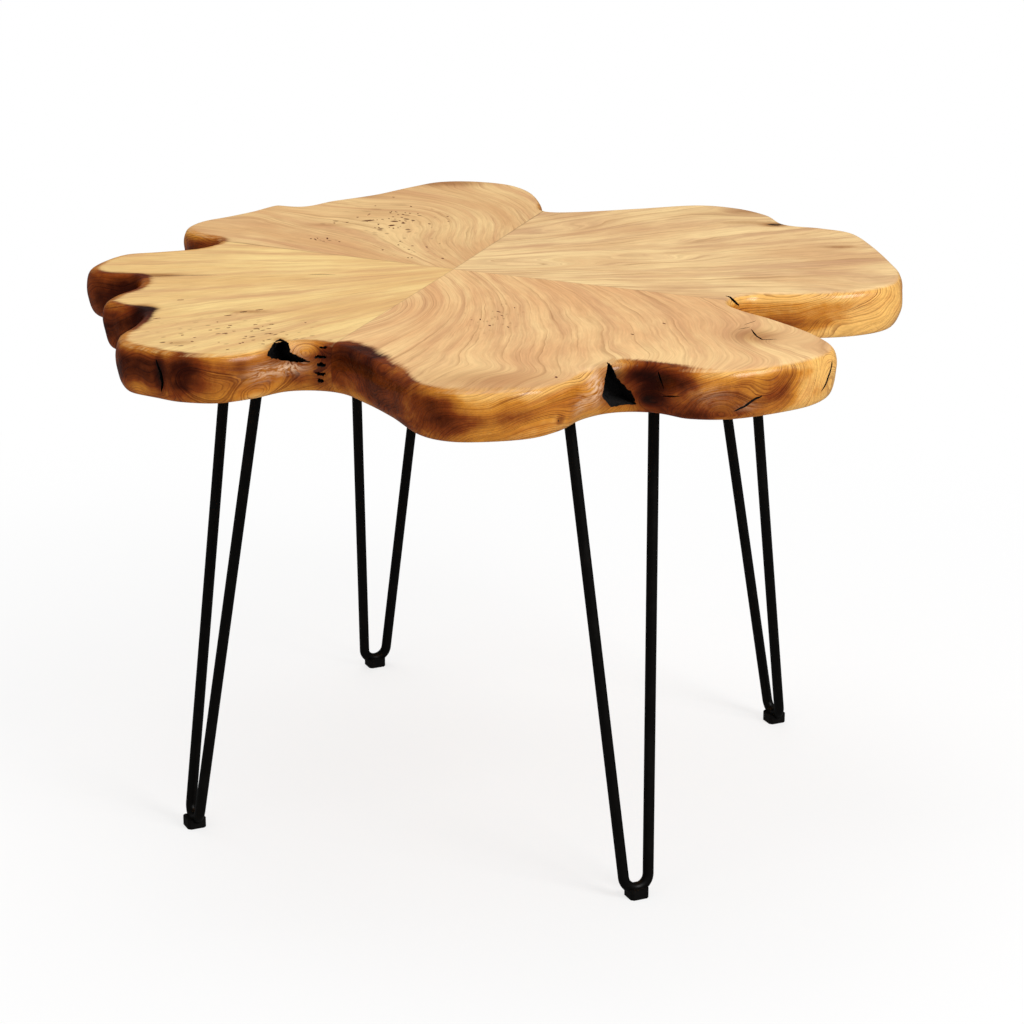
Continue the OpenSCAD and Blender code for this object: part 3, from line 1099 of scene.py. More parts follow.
    def rim(self, board: Board, rim: bpy.types.NodeOutputs, deep: Socket) -> Socket:
        """Colours the live edge, from blond through gold and amber to near-black brown, with ring lines. The
        gold is partly painted light, and the near-black brown partly painted shade.

        Args:
            board: The material's nodes.
            rim: What the wood group puts out for the edge.
            deep: How deep the tone is, which is partly painted shade.

        Returns:
            The colour.
        """
        clouds = board.math("MULTIPLY", board.math("SUBTRACT", rim["Clouds"], 0.5), self.side_clouds)
        deep = board.math("ADD", deep, clouds, clamp=True)
        colour = linear(*self.blond)
        for levels, tone in ((self.gold_levels, self.gold), (self.amber_levels, self.amber),
                             (self.deep_levels, self.deep)):
            colour = board.mix(board.step(deep, *levels), colour, linear(*tone))
        for mask, share, tint in ((rim["Streaks"], self.side_streaks, self.side_streak_tint),
                                  (rim["Rings"], self.side_lines, self.side_line_tint)):
            tinted = board.tint(colour, linear(*tint))
            colour = board.mix(board.math("MULTIPLY", mask, share), colour, tinted)
        return colour


@dataclass(frozen=True)
class HollowBark:
    """The dark, broken wood and bark inside the pocket, the knot hole and the cracks."""

    name: str = "hollow_bark"
    dark: Colour = (7, 3, 2)
    brown: Colour = (32, 15, 8)
    crumbs: float = 260
    brown_levels: tuple[float, float] = (0.52, 0.78)
    rough_levels: tuple[float, float] = (0.2, 0.8)
    rough: tuple[float, float] = (0.5, 0.95)
    relief: float = 2 * MM

    def make(self) -> bpy.types.Material:
        """Builds the material.

        Returns:
            The finished material.
        """
        made, board, shader = new_finish(self.name)
        crumbs = board.noise(board.place(), detail=6, rough=0.7, scale=self.crumbs)
        colour = board.mix(board.step(crumbs, *self.brown_levels), linear(*self.dark), linear(*self.brown))
        board.feed(shader.inputs["Base Color"], colour)
        board.feed(shader.inputs["Roughness"], board.step(crumbs, *self.rough_levels, *self.rough))
        board.bump(shader, crumbs, 1.0, self.relief)
        return made


@dataclass(frozen=True)
class DowelWood:
    """Bare beech of the dowels inside the seams."""

    name: str = "dowel_beech"
    pale: Colour = (222, 190, 146)
    warm: Colour = (196, 156, 110)
    line: Colour = (140, 100, 66)
    ring_width: float = 2 * MM
    wander: float = 1 * MM
    lines: float = 0.3
    rough_levels: tuple[float, float] = (0.2, 0.8)
    rough: tuple[float, float] = (0.6, 0.8)
    seed: float = 4.0

    def make(self, figure: bpy.types.NodeTree) -> bpy.types.Material:
        """Builds the material around the shared wood group.

        Args:
            figure: The group that draws the wood.

        Returns:
            The finished material.
        """
        made, board, shader = new_finish(self.name)
        wood = board.group(figure, Grain=board.place(), Ring_Width=self.ring_width, Wander=self.wander,
                           Seed=self.seed)
        colour = board.mix(wood["Clouds"], linear(*self.pale), linear(*self.warm))
        colour = board.mix(board.math("MULTIPLY", wood["Rings"], self.lines), colour, linear(*self.line))
        board.feed(shader.inputs["Base Color"], colour)
        board.feed(shader.inputs["Roughness"], board.step(wood["Fibre"], *self.rough_levels, *self.rough))
        return made


@dataclass(frozen=True)
class Coating:
    """A dark coated, moulded or blackened finish with a fine relief and a little dust."""

    name: str
    colour: Colour
    dusty: Colour
    rough: float
    grain: float
    relief: float
    metal: float = 0.0
    dust: float = 0.35
    dust_rough: float = 0.12
    specular: float = 0.22
    relief_strength: float = 0.35

    def make(self, relief: bpy.types.NodeTree) -> bpy.types.Material:
        """Builds the material around the shared relief group.

        Args:
            relief: The group for the fine relief and the dust.

        Returns:
            The finished material.
        """
        made, board, shader = new_finish(self.name)
        fine = board.group(relief, Place=board.place(), Grain_Size=self.grain)
        dust = board.math("MULTIPLY", fine["Dust"], self.dust)
        board.feed(shader.inputs["Base Color"], board.mix(dust, linear(*self.colour), linear(*self.dusty)))
        rough = board.step(fine["Dust"], 0.0, 1.0, self.rough, self.rough + self.dust_rough)
        board.feed(shader.inputs["Roughness"], rough)
        shader.inputs["Metallic"].default_value = self.metal
        shader.inputs["Specular IOR Level"].default_value = self.specular
        board.bump(shader, fine["Relief"], self.relief_strength, self.relief)
        return made


@dataclass(frozen=True)
class Slab:
    """One slab of the top: its side of the outline, figure and wood, with tones along its edge. These tones
    are
    partly painted light and shade: lighter where the edge faces the key lamp, darker on flanks turned from
    it.

    Its hollows and nicks are cut into it. A nick is a place on the top and a length, and scatter is the
    number of small ones among the pin knots, which lie at random.
    """

    side: Side
    node: str
    wood: SlabWood
    figure: Figure
    tones_and_shade: tuple[float, ...]
    hollows: tuple[Pocket | Cleft, ...] = ()
    nicks: tuple[tuple[float, float, float], ...] = ()
    scatter: int = 0
    scatter_spread: float = 0.6
    scatter_long: tuple[float, float] = (2.2, 4.2)
    nick_width: tuple[float, float] = (0.7, 1.4)
    nick_depth: float = 1.0
    nick_skew: Place = (0.5, 0.5, 0)
    nick_rough: float = 0.2
    nick_taper: float = 0.9

    def nick_places(self, draw: np.random.Generator) -> list[list[float]]:
        """Lists the nicks at chosen places and scatters more among the pin knots.

        Args:
            draw: The source of random numbers.

        Returns:
            The place on the top and the length of each nick.
        """
        places = [list(nick) for nick in self.nicks]
        if not self.scatter:
            return places
        pins = self.figure.pins
        shares = np.array([spot.strength * spot.reach[0] * spot.reach[1] for spot in pins])
        for number in draw.choice(len(shares), self.scatter, p=shares / shares.sum()):
            gap = draw.normal(size=2) * np.array(pins[number].reach[:2]) * self.scatter_spread
            at = pins[number].at
            places.append([at[0] + gap[0], at[1] + gap[1], draw.uniform(*self.scatter_long)])
        return places

    def small_nicks(self, top: float) -> list[Cleft]:
        """Shapes the small dark nicks of the top, which all run with the grain.

        Args:
            top: Height of the tabletop, in millimetres.

        Returns:
            One cleft for each nick.
        """
        draw = np.random.default_rng(Seed.NICK_PLACES + self.side.value)
        turn = math.radians(self.figure.bearing)
        along = np.array([math.cos(turn), math.sin(turn), 0])
        cuts = []
        for x, y, long in self.nick_places(draw):
            middle = np.array([x, y, top])
            half = along * long / 2 + draw.normal(size=3) * self.nick_skew
            path = (tuple(middle - half), tuple(middle + half))
            cuts.append(Cleft(path, draw.uniform(*self.nick_width), self.nick_depth, (0, 0, -1),
                              self.nick_rough, self.nick_taper))
        return cuts


FRONT_SLAB = Slab(
    Side.FRONT, "slab_front",
    SlabWood("front_slab_wood", pale=(238, 200, 142), warm=(220, 170, 118), top_lines=0.48, top_cover=0.26,
             seed=1.3),
    Figure(
        bearing=-68, behind=240, spread=420, bow=-0.8,
        swirls=(
            Swirl((-112, -122, 521), (95, 66, 70), -95, -112),
            Swirl((20, -330, 521), (60, 26, 60), -16, -20),
            Swirl((215, -338, 512), (34, 30, 16), 20, 10),
            Swirl((134, -318, 489), (13, 16, 11), 26),
            Swirl((40, -392, 496), (34, 30, 12), 12),
            Swirl((-60, -370, 500), (30, 40, 16), -14, 60),
            Swirl((252, -240, 521), (54, 30, 40), 30, -40),
            Swirl((120, -290, 521), (40, 20, 40), -12, 20),
        ),
        edge_swirls=(
            Swirl((-150, -258, 500), (52, 52, 90), 60),
            Swirl((-50, -398, 502), (24, 24, 13), 16),
            Swirl((194, -336, 485), (34, 24, 25), 32),
            Swirl((146, -318, 490), (16, 16, 11), 14),
            Swirl((304, -288, 500), (46, 50, 90), 46),
        ),
        layers=(Spot((0, -402, 500), (85, 60, 60), 1.2), Spot((-112, -306, 500), (46, 56, 90), -1.0),
                Spot((288, -296, 500), (40, 44, 90), -0.9)),
        # These spots deepen or lighten the edge's tone, partly as painted shade, most of all on the front
        # flank about x -90 to -140, which faces away from the key lamp.
        tone_and_shade_spots=(
            Spot((-126, -258, 519), (22, 26, 9), 0.3), Spot((-140, -257, 486), (13, 13, 14), 0.14),
            Spot((-88, -344, 499), (14, 16, 13), -0.18), Spot((-104, -296, 520), (17, 28, 9), 0.26),
            Spot((-50, -398, 506), (20, 18, 13), 0.2), Spot((-14, -404, 514), (26, 20, 9), -0.16),
            Spot((-10, -404, 497), (26, 20, 7), 0.12), Spot((113, -316, 512), (7, 14, 10), -0.35),
            Spot((134, -314, 508), (16, 14, 12), 0.12), Spot((166, -328, 512), (20, 16, 10), 0.12),
            Spot((176, -332, 496), (18, 16, 10), -0.3), Spot((192, -334, 512), (12, 14, 9), -0.2),
            Spot((254, -321, 497), (12, 12, 14), 0.14), Spot((282, -306, 502), (13, 13, 18), -0.3),
            Spot((200, -334, 478), (30, 20, 6), 0.35),
        ),
        wraps=(Spot((120, -300, 521), (20, 8, 9), 0.5), Spot((160, -318, 521), (22, 7, 9), 0.55),
               Spot((-134, -250, 521), (14, 16, 9), 0.85), Spot((-117, -267, 521), (14, 18, 9), 0.7),
               Spot((-101, -296, 521), (13, 24, 9), 0.6), Spot((-82, -336, 521), (11, 24, 9), 0.5),
               Spot((0, -386, 521), (54, 9, 9), 0.4)),
        bares=(Spot((93, -328, 506), (11, 11, 15), 1.3), Spot((78, -348, 494), (10, 12, 9), 0.6),
               Spot((196, -336, 500), (14, 10, 9), 0.25),
               Spot((230, -331, 486), (10, 6, 3), 0.8)),
        pins=(Spot((0, -150, 521), (30, 60, 30), 0.35), Spot((-155, -252, 500), (18, 16, 30), 0.9)),
        stains=(
            Spot((112, -320, 498), (16, 12, 22), 0.75), Spot((136, -320, 487), (9, 12, 8), 0.9),
            Spot((152, -322, 508), (26, 20, 9), 0.55), Spot((240, -228, 521), (22, 30, 12), 0.28),
            Spot((226, -334, 486), (26, 14, 6), 0.55), Spot((62, -376, 487), (5, 6, 5), 0.8),
            Spot((-6, -360, 521), (92, 42, 20), 0.27), Spot((246, -214, 521), (30, 24, 12), 0.2),
            Spot((126, -318, 514), (30, 12, 8), 0.45), Spot((146, -320, 489), (13, 12, 9), 0.45),
        ),
    ),
    # Tones along the front edge: the flank turned from the key lamp is darkest, which is partly painted
    # shade.
    tones_and_shade=(0.7, 0.76, 0.76, 0.78, 0.68, 0.46, 0.42, 0.44, 0.4, 0.55, 0.8, 0.7, 0.5, 0.42, 0.2, 0.1, 0.15,
           0.25, 0.3),
    hollows=(
        Pocket((112, -320, 494), -68,
               ((-11, 16), (-4, 33), (2, 15), (17, -1), (21, -12), (-3, -14), (-14, 0)), depth=20),
        Cleft(((309, -273, 513), (308, -279, 505), (305, -284, 495), (299, -288, 487)),
              width=1.7, depth=9, into=(-0.8, 0.6, 0)),
        Cleft(((213, -336, 481), (226, -333, 486), (237, -329, 493), (243, -327, 495)),
              width=1.4, depth=5, into=(-0.3, 0.93, 0.1)),
        Cleft(((240, -197, 521), (243, -219, 521), (248, -233, 521), (262, -231, 521)),
              width=1.1, depth=6, into=(0, 0, -1)),
        Cleft(((228, -198, 521), (240, -190, 521)), width=0.6, depth=4, into=(0, 0, -1)),
        Cleft(((234, -183, 521), (247, -168, 521)), width=0.5, depth=3, into=(0, 0, -1)),
        Cleft(((60, -380, 488), (65, -377, 487)), width=2.0, depth=5, into=(-0.74, 0.67, 0)),
        Cleft(((149, -314, 516), (151, -318, 509), (154, -322, 500)),
              width=0.9, depth=5, into=(0.3, 0.95, 0)),
        Cleft(((152, -321, 493), (165, -328, 496), (179, -333, 499)), width=0.8, depth=5, into=(0.4, 0.9, 0)),
    ),
    nicks=((5, -137, 6), (-12, -164, 5), (57, -353, 6), (129, -215, 5), (160, -178, 7), (-3, -185, 4),
           (14, -190, 4)),
    scatter=6,
)

RIGHT_SLAB = Slab(
    Side.RIGHT, "slab_right",
    SlabWood("right_slab_wood", pale=(239, 207, 150), warm=(214, 172, 122), streak=(188, 142, 106),
             top_lines=0.5, top_cover=0.25, seed=5.1),
    Figure(
        bearing=8, behind=300, spread=460, bow=0.1,
        swirls=(
            Swirl((38, 36, 521), (80, 15, 60), 40),
            Swirl((150, 60, 521), (46, 12, 60), 24),
            Swirl((286, 246, 521), (48, 20, 50), 46, -6),
            Swirl((70, 175, 521), (60, 16, 60), 26, 30),
            Swirl((362, -40, 505), (48, 34, 26), 20, 40),
            Swirl((180, 120, 521), (90, 18, 60), 12, 6),
            Swirl((270, -70, 496), (46, 20, 12), 12),
        ),
        edge_swirls=(Swirl((396, -20, 500), (60, 60, 90), 60), Swirl((330, -80, 494), (30, 30, 14), 14)),
        layers=(Spot((300, -80, 500), (70, 40, 60), 0.7), Spot((392, -10, 500), (50, 60, 90), -0.8)),
        # The first spot darkens the lower half of the right edge, under its ridge: painted shade.
        tone_and_shade_spots=(Spot((280, -76, 489), (60, 20, 8), 0.3), Spot((238, -86, 500), (16, 16, 20), 0.15),
                Spot((382, -48, 506), (20, 20, 16), -0.12)),
        pins=(Spot((300, 205, 521), (60, 16, 20), 0.4),),
        stains=(
            Spot((292, 200, 521), (14, 8, 16), 0.8), Spot((262, 210, 521), (34, 9, 12), 0.3),
            Spot((352, 108, 521), (22, 6, 9), 0.45), Spot((286, 262, 521), (40, 14, 12), 0.32),
            Spot((234, -104, 518), (10, 12, 12), 0.6), Spot((182, 82, 521), (26, 5, 9), 0.2),
            # The spot at (262, -78, 488) browns the same lower half under the ridge: painted shade, not a
            # stain.
            Spot((262, -78, 488), (50, 20, 8), 0.22), Spot((236, 248, 521), (60, 24, 12), 0.2),
        ),
    ),
    # Tones along the right edge: lightest where it faces the key lamp, which is partly painted light.
    tones_and_shade=(0.3, 0.2, 0.18, 0.1, 0.08, 0.1, 0.14, 0.2, 0.26, 0.36, 0.5, 0.42, 0.32, 0.3, 0.3, 0.36),
    hollows=(
        Cleft(((284, 203, 521), (292, 199, 521), (300, 203, 521)), width=1.8, depth=8, into=(0, 0, -1)),
        Cleft(((223, -80, 521), (230, -86, 518), (238, -84, 512)),
              width=1.8, depth=5, into=(-0.4, 0.7, -0.6)),
    ),
)

BACK_SLAB = Slab(
    Side.BACK, "slab_back",
    SlabWood("back_slab_wood", pale=(231, 195, 138), warm=(212, 166, 114), top_lines=0.4, top_cover=0.2,
             seed=9.7),
    Figure(
        bearing=113, behind=160, spread=340, bow=1.0,
        swirls=(
            Swirl((-70, 240, 521), (100, 84, 70), 66, 113),
            Swirl((-46, 392, 521), (46, 22, 40), 18, 0),
            Swirl((-250, 230, 521), (60, 24, 40), 16, 130),
            Swirl((-130, 300, 521), (50, 30, 40), -12, 120),
        ),
        pins=(
            Spot((-112, 232, 521), (46, 56, 30), 0.8), Spot((-104, 210, 521), (24, 40, 30), 1.0),
            Spot((-80, 110, 521), (30, 44, 30), 0.5), Spot((-160, 206, 521), (18, 12, 30), 1.0),
            Spot((-178, 140, 521), (20, 12, 30), 0.9),
        ),
        stains=(Spot((-52, 388, 521), (48, 18, 12), 0.42), Spot((-128, 262, 521), (40, 30, 10), 0.16),
                Spot((-150, 330, 521), (40, 14, 10), 0.3), Spot((-170, 200, 521), (34, 8, 10), 0.25)),
    ),
    # Tones along the back edge, partly painted light and shade as on the other slabs.
    tones_and_shade=(0.5, 0.4, 0.35, 0.3, 0.3, 0.36, 0.42, 0.42, 0.46, 0.5, 0.46, 0.46, 0.46, 0.46, 0.56, 0.66),
    nicks=((-168, 208, 5), (-154, 212, 4), (-184, 139, 7), (-172, 143, 6), (-52, 62, 4)),
    scatter=55,
)

LEFT_SLAB = Slab(
    Side.LEFT, "slab_left",
    SlabWood("left_slab_wood", pale=(239, 207, 140), warm=(222, 180, 118), ring_width=7 * MM,
             top_lines=0.2, seed=14.2),
    Figure(
        bearing=198, behind=180, spread=380,
        swirls=(
            Swirl((-236, -137, 521), (15, 6, 20), 9, 20),
            Swirl((-171, -247, 512), (13, 13, 11), 34),
            Swirl((-240, -292, 490), (32, 30, 20), 22, 0),
            Swirl((-286, -288, 494), (18, 20, 16), -16, 0),
            Swirl((-210, -272, 500), (24, 20, 14), 16, 0),
        ),
        edge_swirls=(
            Swirl((-278, -286, 502), (24, 24, 20), 34),
            Swirl((-174, -246, 516), (13, 13, 10), 16),
            Swirl((-214, -270, 474), (24, 22, 26), -16),
            Swirl((-330, -250, 500), (26, 26, 90), 20),
        ),
        # These spots deepen or lighten the edge's tone, partly as painted shade on the left-facing lobes,
        # such as those at (-352, -8) and (-332, -130).
        tone_and_shade_spots=(
            Spot((-278, -285, 503), (13, 13, 12), 0.16), Spot((-311, -272, 512), (10, 12, 10), 0.08),
            Spot((-327, -260, 486), (14, 14, 9), -0.3), Spot((-256, -288, 508), (12, 12, 14), -0.16),
            Spot((-240, -285, 492), (14, 14, 10), -0.1), Spot((-174, -246, 517), (12, 12, 10), -0.2),
            Spot((-402, 20, 500), (14, 22, 22), -0.12), Spot((-352, -8, 512), (12, 14, 20), 0.3),
            Spot((-332, -130, 510), (12, 16, 20), 0.3), Spot((-150, -256, 490), (14, 12, 14), -0.26),
            Spot((-148, -252, 518), (9, 10, 8), 0.25),
        ),
        wraps=(Spot((-174, -242, 521), (18, 9, 9), 1.0), Spot((-196, -250, 521), (10, 9, 9), 0.6),
               Spot((-331, -127, 521), (14, 8, 9), 0.7), Spot((-350, -4, 521), (12, 7, 9), 0.6)),
        bares=(Spot((-210, -267, 500), (17, 14, 8), 0.75), Spot((-188, -254, 500), (16, 12, 6), 0.9),
               Spot((-182, -246, 512), (10, 12, 9), 0.5)),
        pins=(
            Spot((-235, -205, 521), (70, 40, 30), 0.7), Spot((-288, -242, 521), (26, 14, 30), 0.9),
            Spot((-200, -240, 521), (40, 20, 30), 0.7), Spot((-155, -252, 500), (12, 16, 30), 0.8),
        ),
        stains=(
            Spot((-199, -256, 515), (12, 10, 8), 0.6), Spot((-196, -232, 521), (7, 8, 9), 0.5),
            Spot((-188, -256, 506), (16, 10, 4), 0.4), Spot((-232, -137, 521), (24, 6, 9), 0.4),
            Spot((-288, -243, 521), (16, 8, 9), 0.3), Spot((-303, -276, 498), (5, 9, 26), 0.9),
            Spot((-334, -3, 519), (26, 8, 9), 0.6), Spot((-229, -281, 508), (9, 9, 8), 0.5),
            Spot((-334, -124, 519), (14, 14, 12), 0.7), Spot((-158, -250, 500), (9, 9, 30), 0.45),
        ),
    ),
    # Tones along the left edge: the left-facing lobes are darkest, which is partly painted shade.
    tones_and_shade=(0.74, 0.66, 0.6, 0.6, 0.68, 0.78, 0.86, 0.92, 0.9, 0.78, 0.74, 0.84, 0.94, 0.84, 0.74, 0.7,
           0.72, 0.76, 0.58, 0.46, 0.5),
    hollows=(
        Pocket((-188, -252, 512), -70,
               ((-21, -1), (-15, 7), (-7, 17), (1, 24), (4, 13), (3, 2), (11, -5), (20, -10), (9, -8),
                (-3, -5), (-16, -3)), depth=24, slope=35),
        Cleft(((-306, -273, 514), (-303, -276, 502), (-301, -275, 492), (-302, -272, 482)),
              width=1.7, depth=7, into=(0.5, 0.86, 0)),
        Cleft(((-159, -247, 518), (-156, -247, 517), (-151, -248, 518)),
              width=1.3, depth=5, into=(0.2, 0.7, -0.7), rough=0.6, taper=0.8),
        Cleft(((-163, -250, 508.5), (-158, -251, 510), (-152, -252, 509.5)),
              width=1.6, depth=5, into=(0.2, 0.95, -0.2), rough=0.6, taper=0.8),
        Cleft(((-161, -251, 501), (-157, -252, 502.5), (-153, -253, 501.5)),
              width=2.5, depth=7, into=(0.2, 0.98, 0), rough=0.5, taper=0.6),
        Cleft(((-163, -249, 494), (-158, -250, 492.5), (-153, -251, 493.5)),
              width=1.9, depth=6, into=(0.25, 0.96, 0), rough=0.6, taper=0.8),
        Cleft(((-161, -247, 485), (-158, -248, 486.5), (-155, -249, 485.5)),
              width=2.1, depth=5, into=(0.25, 0.96, 0), rough=0.6, taper=0.7),
        Cleft(((-334, -9, 521), (-318, -3, 521), (-296, -3, 521), (-272, -2, 521)),
              width=0.7, depth=4, into=(0, 0, -1)),
        Cleft(((-184, -2, 521), (-170, 0, 521), (-155, -2, 521)), width=0.6, depth=3, into=(0, 0, -1)),
        Cleft(((-240, -139, 521), (-233, -136, 521)), width=1.2, depth=4, into=(0, 0, -1)),
    ),
    nicks=((-300, -95, 8), (-250, -150, 6), (-222, -130, 9), (-330, -150, 6), (-316, -160, 7)),
    scatter=34,
)


class Cut(IntEnum):
    """Numbers of a slab's materials: its wood, the bark in its hollows, and the brown in its small nicks."""

    WOOD = 0
    BARK = 1
    NICK = 2


def sheet_faces(rows: int, columns: int) -> list[list[int]]:
    """Lists the faces of a closed slab, whose corners run in rows from its top heart to its low one.

    Args:
        rows: Number of rows. The top and the low heart are the two corners after the last row.
        columns: Number of corners in a row.

    Returns:
        The numbers of each face's corners.
    """
    heart, under = rows * columns, rows * columns + 1
    last = (rows - 1) * columns
    faces = []
    for row in range(rows - 1):
        for column in range(columns - 1):
            here = row * columns + column
            faces.append([here, here + columns, here + columns + 1, here + 1])
    for column in range(columns - 1):
        faces.append([heart, column, column + 1])
        faces.append([under, last + column + 1, last + column])
    start = [row * columns for row in range(rows)]
    end = [row * columns + columns - 1 for row in range(rows)]
    faces.append([heart, under, *reversed(start)])
    faces.append([heart, *end, under])
    return faces


@dataclass
class LiveEdgeTop:
    """The top: four slabs swept from the outline, with hollows, dowel holes and screw holes cut into them.

    Tones run from 0 to 1. A fade is where a tone starts to change and where it is done: as a share of the
    slab's thickness, from the tabletop down. The under reach is the same as a distance from the outline, in
    metres. The haze is the colour of the edge that fades in over the tabletop, where its tone is deep.
    """

    outline: Outline = field(default_factory=Outline)
    section: EdgeSection = field(default_factory=EdgeSection)
    bores: Bores = field(default_factory=Bores)
    slabs: tuple[Slab, ...] = (FRONT_SLAB, RIGHT_SLAB, BACK_SLAB, LEFT_SLAB)
    bark: HollowBark = HollowBark()
    nick: HollowBark = HollowBark("nick_brown", dark=(140, 92, 60), brown=(184, 132, 92))
    top_rings: int = 60
    low_rings: int = 16
    sharp_angle: float = 38
    batch: int = 4000
    crown_light: float = 0.1
    blond_light: float = 0.5
    crown_fade: tuple[float, float] = (0.02, 0.24)
    low_dark: float = 0.22
    low_fade: tuple[float, float] = (0.6, 1.0)
    under_tone: float = 0.2
    under_fade: tuple[float, float] = (0.9, 1.0)
    under_reach: tuple[float, float] = (0.018, 0.065)
    haze: float = 7 * MM
    haze_from: float = 0.3
    haze_span: float = 0.6
    edge: np.ndarray = field(init=False)
    heart: np.ndarray = field(init=False)
    rings: np.ndarray = field(init=False)

    def __post_init__(self) -> None:
        """Works out the edge once for all four slabs."""
        self.edge = self.outline.edge()
        self.heart = self.outline.heart()
        self.rings = self.section.rings(self.edge, self.outline.inward(self.edge, self.heart))

    def blank(self, slab: Slab) -> bpy.types.Mesh:
        """Builds a slab before anything is cut into it.

        Args:
            slab: The slab.

        Returns:
            One closed mesh.
        """
        first = self.outline.first(slab.side.value)
        columns = self.outline.steps * len(self.outline.rims[slab.side.value]) + 1
        picks = (first + np.arange(columns)) % len(self.edge)
        edge = self.rings[:, picks]
        heart = np.array([*self.heart, self.section.top])
        under = heart - (0, 0, self.section.thick)
        over_top = np.arange(1, self.top_rings) / self.top_rings
        over_low = np.arange(1, self.low_rings) / self.low_rings
        rows = [heart + (edge[0] - heart) * share for share in over_top]
        rows += list(edge)
        rows += [edge[-1] + (under - edge[-1]) * share for share in over_low]
        points = np.vstack([*rows, heart, under])
        mesh = bpy.data.meshes.new(slab.node + "_live")
        mesh.from_pydata(points.tolist(), [], sheet_faces(len(rows), columns))
        return mesh

    def cutters(self, slab: Slab) -> bpy.types.Object:
        """Builds everything that is cut out of a slab.

        Args:
            slab: The slab.

        Returns:
            One object, which isn't in the scene yet.
        """
        shape = bmesh.new()
        for number, hollow in enumerate(slab.hollows):
            hollow.cut(shape, Seed.CUT_STEP * number + slab.side.value)
        for face in shape.faces:
            face.material_index = Cut.BARK
        large = len(shape.faces)
        for number, nick in enumerate(slab.small_nicks(self.section.top / MM)):
            nick.cut(shape, Seed.NICK_SHAPES + Seed.CUT_STEP * number + slab.side.value)
        shape.faces.ensure_lookup_table()
        for face in shape.faces[large:]:
            face.material_index = Cut.NICK
        self.bores.cut(shape, self.heart, self.seams(slab))
        mesh = bpy.data.meshes.new(slab.node + "_cutters")
        shape.to_mesh(mesh)
        shape.free()
        return bpy.data.objects.new(slab.node + "_cutters", mesh)

    def hollow_out(self, piece: bpy.types.Object, cutters: bpy.types.Object) -> None:
        """Cuts the cutters out of a slab, whose cut faces keep the cutters' material numbers.

        Args:
            piece: The slab.
            cutters: What is cut out of it, which is deleted.
        """
        bpy.context.scene.collection.objects.link(cutters)
        cut = piece.modifiers.new("hollows", "BOOLEAN")
        cut.operation, cut.solver, cut.object = "DIFFERENCE", "MANIFOLD", cutters
        ready = piece.evaluated_get(bpy.context.evaluated_depsgraph_get())
        mesh = bpy.data.meshes.new_from_object(ready)
        piece.modifiers.clear()
        old, piece.data = piece.data, mesh
        bpy.data.meshes.remove(old)
        bpy.data.objects.remove(cutters)

    def nearest_edge(self, points: np.ndarray) -> tuple[np.ndarray, np.ndarray]:
        """Finds the point of the outline nearest to each place, a batch of places at a time.

        Args:
            points: Places, one row each, in metres.

        Returns:
            The number of that point for each place, and how far off it is, in metres.
        """
        nearest = np.zeros(len(points), int)
        gap = np.zeros(len(points))
        for start in range(0, len(points), self.batch):
            part = slice(start, start + self.batch)
            far = ((points[part, None, :2] - self.edge[None]) ** 2).sum(2)
            nearest[part] = far.argmin(1)
            gap[part] = np.sqrt(far.min(1))
        return nearest, gap

    def tone(self, points: np.ndarray) -> tuple[np.ndarray, np.ndarray]:
        """Works out the tone that the slabs' tables give each place, and the haze beside the edge. The tone
        is partly painted light and shade.

        Args:
            points: Places, one row each, in metres.

        Returns:
            Depth of tone at each place, and how far the live edge's colour reaches in over the tabletop.
        """
        table = np.array([tone for slab in self.slabs for tone in slab.tones_and_shade])
        spots = np.arange(len(self.edge)) / self.outline.steps
        along = np.interp(spots, np.arange(len(table) + 1), np.append(table, table[0]))
        nearest, gap = self.nearest_edge(points)
        down = (self.section.top - points[:, 2]) / self.section.thick
        light = self.crown_light + self.blond_light * (1 - along[nearest])
        tone = along[nearest] - self.low_dark * smooth_step(down, *self.low_fade)
        tone -= light * (1 - smooth_step(down, *self.crown_fade))
        inner = smooth_step(gap, *self.under_reach) * smooth_step(down, *self.under_fade)
        tone += inner * (self.under_tone - tone)
        near = np.exp(-np.clip(gap - self.section.crown_in, 0, None) / self.haze)
        return tone, near * np.clip((along[nearest] - self.haze_from) / self.haze_span, 0, 1)

    def seams(self, slab: Slab) -> list[np.ndarray]:
        """Finds which way a slab's two seams run from the heart.

        Args:
            slab: The slab.

        Returns:
            A direction of length 1 for each seam.
        """
        ends = [self.edge[self.outline.first(number) % len(self.edge)] - self.heart
                for number in (slab.side.value, slab.side.value + 1)]
        return [end / np.linalg.norm(end) for end in ends]

    def seam_gap(self, slab: Slab, points: np.ndarray) -> np.ndarray:
        """Distance of each place from the slab's nearer seam, in metres."""
        gap = points[:, :2] - self.heart
        return np.minimum(*[np.abs(gap[:, 0] * way[1] - gap[:, 1] * way[0]) for way in self.seams(slab)])

    def mark(self, slab: Slab, mesh: bpy.types.Mesh) -> None:
        """Writes what the wood's material reads at each point of the mesh.

        Args:
            slab: The slab.
            mesh: Its mesh, after cutting.
        """
        points = np.zeros(len(mesh.vertices) * 3)
        mesh.vertices.foreach_get("co", points)
        points = points.reshape(-1, 3)
        figure = slab.figure
        tone, haze = self.tone(points)
        grain = figure.grain(points, self.heart, self.section.top)
        # The tone, with its tone and shade spots, is partly painted light and shade.
        for name, values in (("tone", tone + masked(figure.tone_and_shade_spots, points)),
                             ("haze", haze + masked(figure.wraps, points)),
                             ("stain", np.clip(masked(figure.stains, points), 0, 1)),
                             ("pins", np.clip(masked(figure.pins, points), 0, 1)),
                             ("bare", np.clip(masked(figure.bares, points), 0, 1)),
                             ("seam", self.seam_gap(slab, points))):
            mesh.attributes.new(name, "FLOAT", "POINT").data.foreach_set("value", values.astype(np.float32))
        for name, values in (("grain", grain), ("rim", figure.rim_grain(points, grain))):
            mesh.attributes.new(name, "FLOAT_VECTOR", "POINT").data.foreach_set(
                "vector", values.astype(np.float32).ravel())

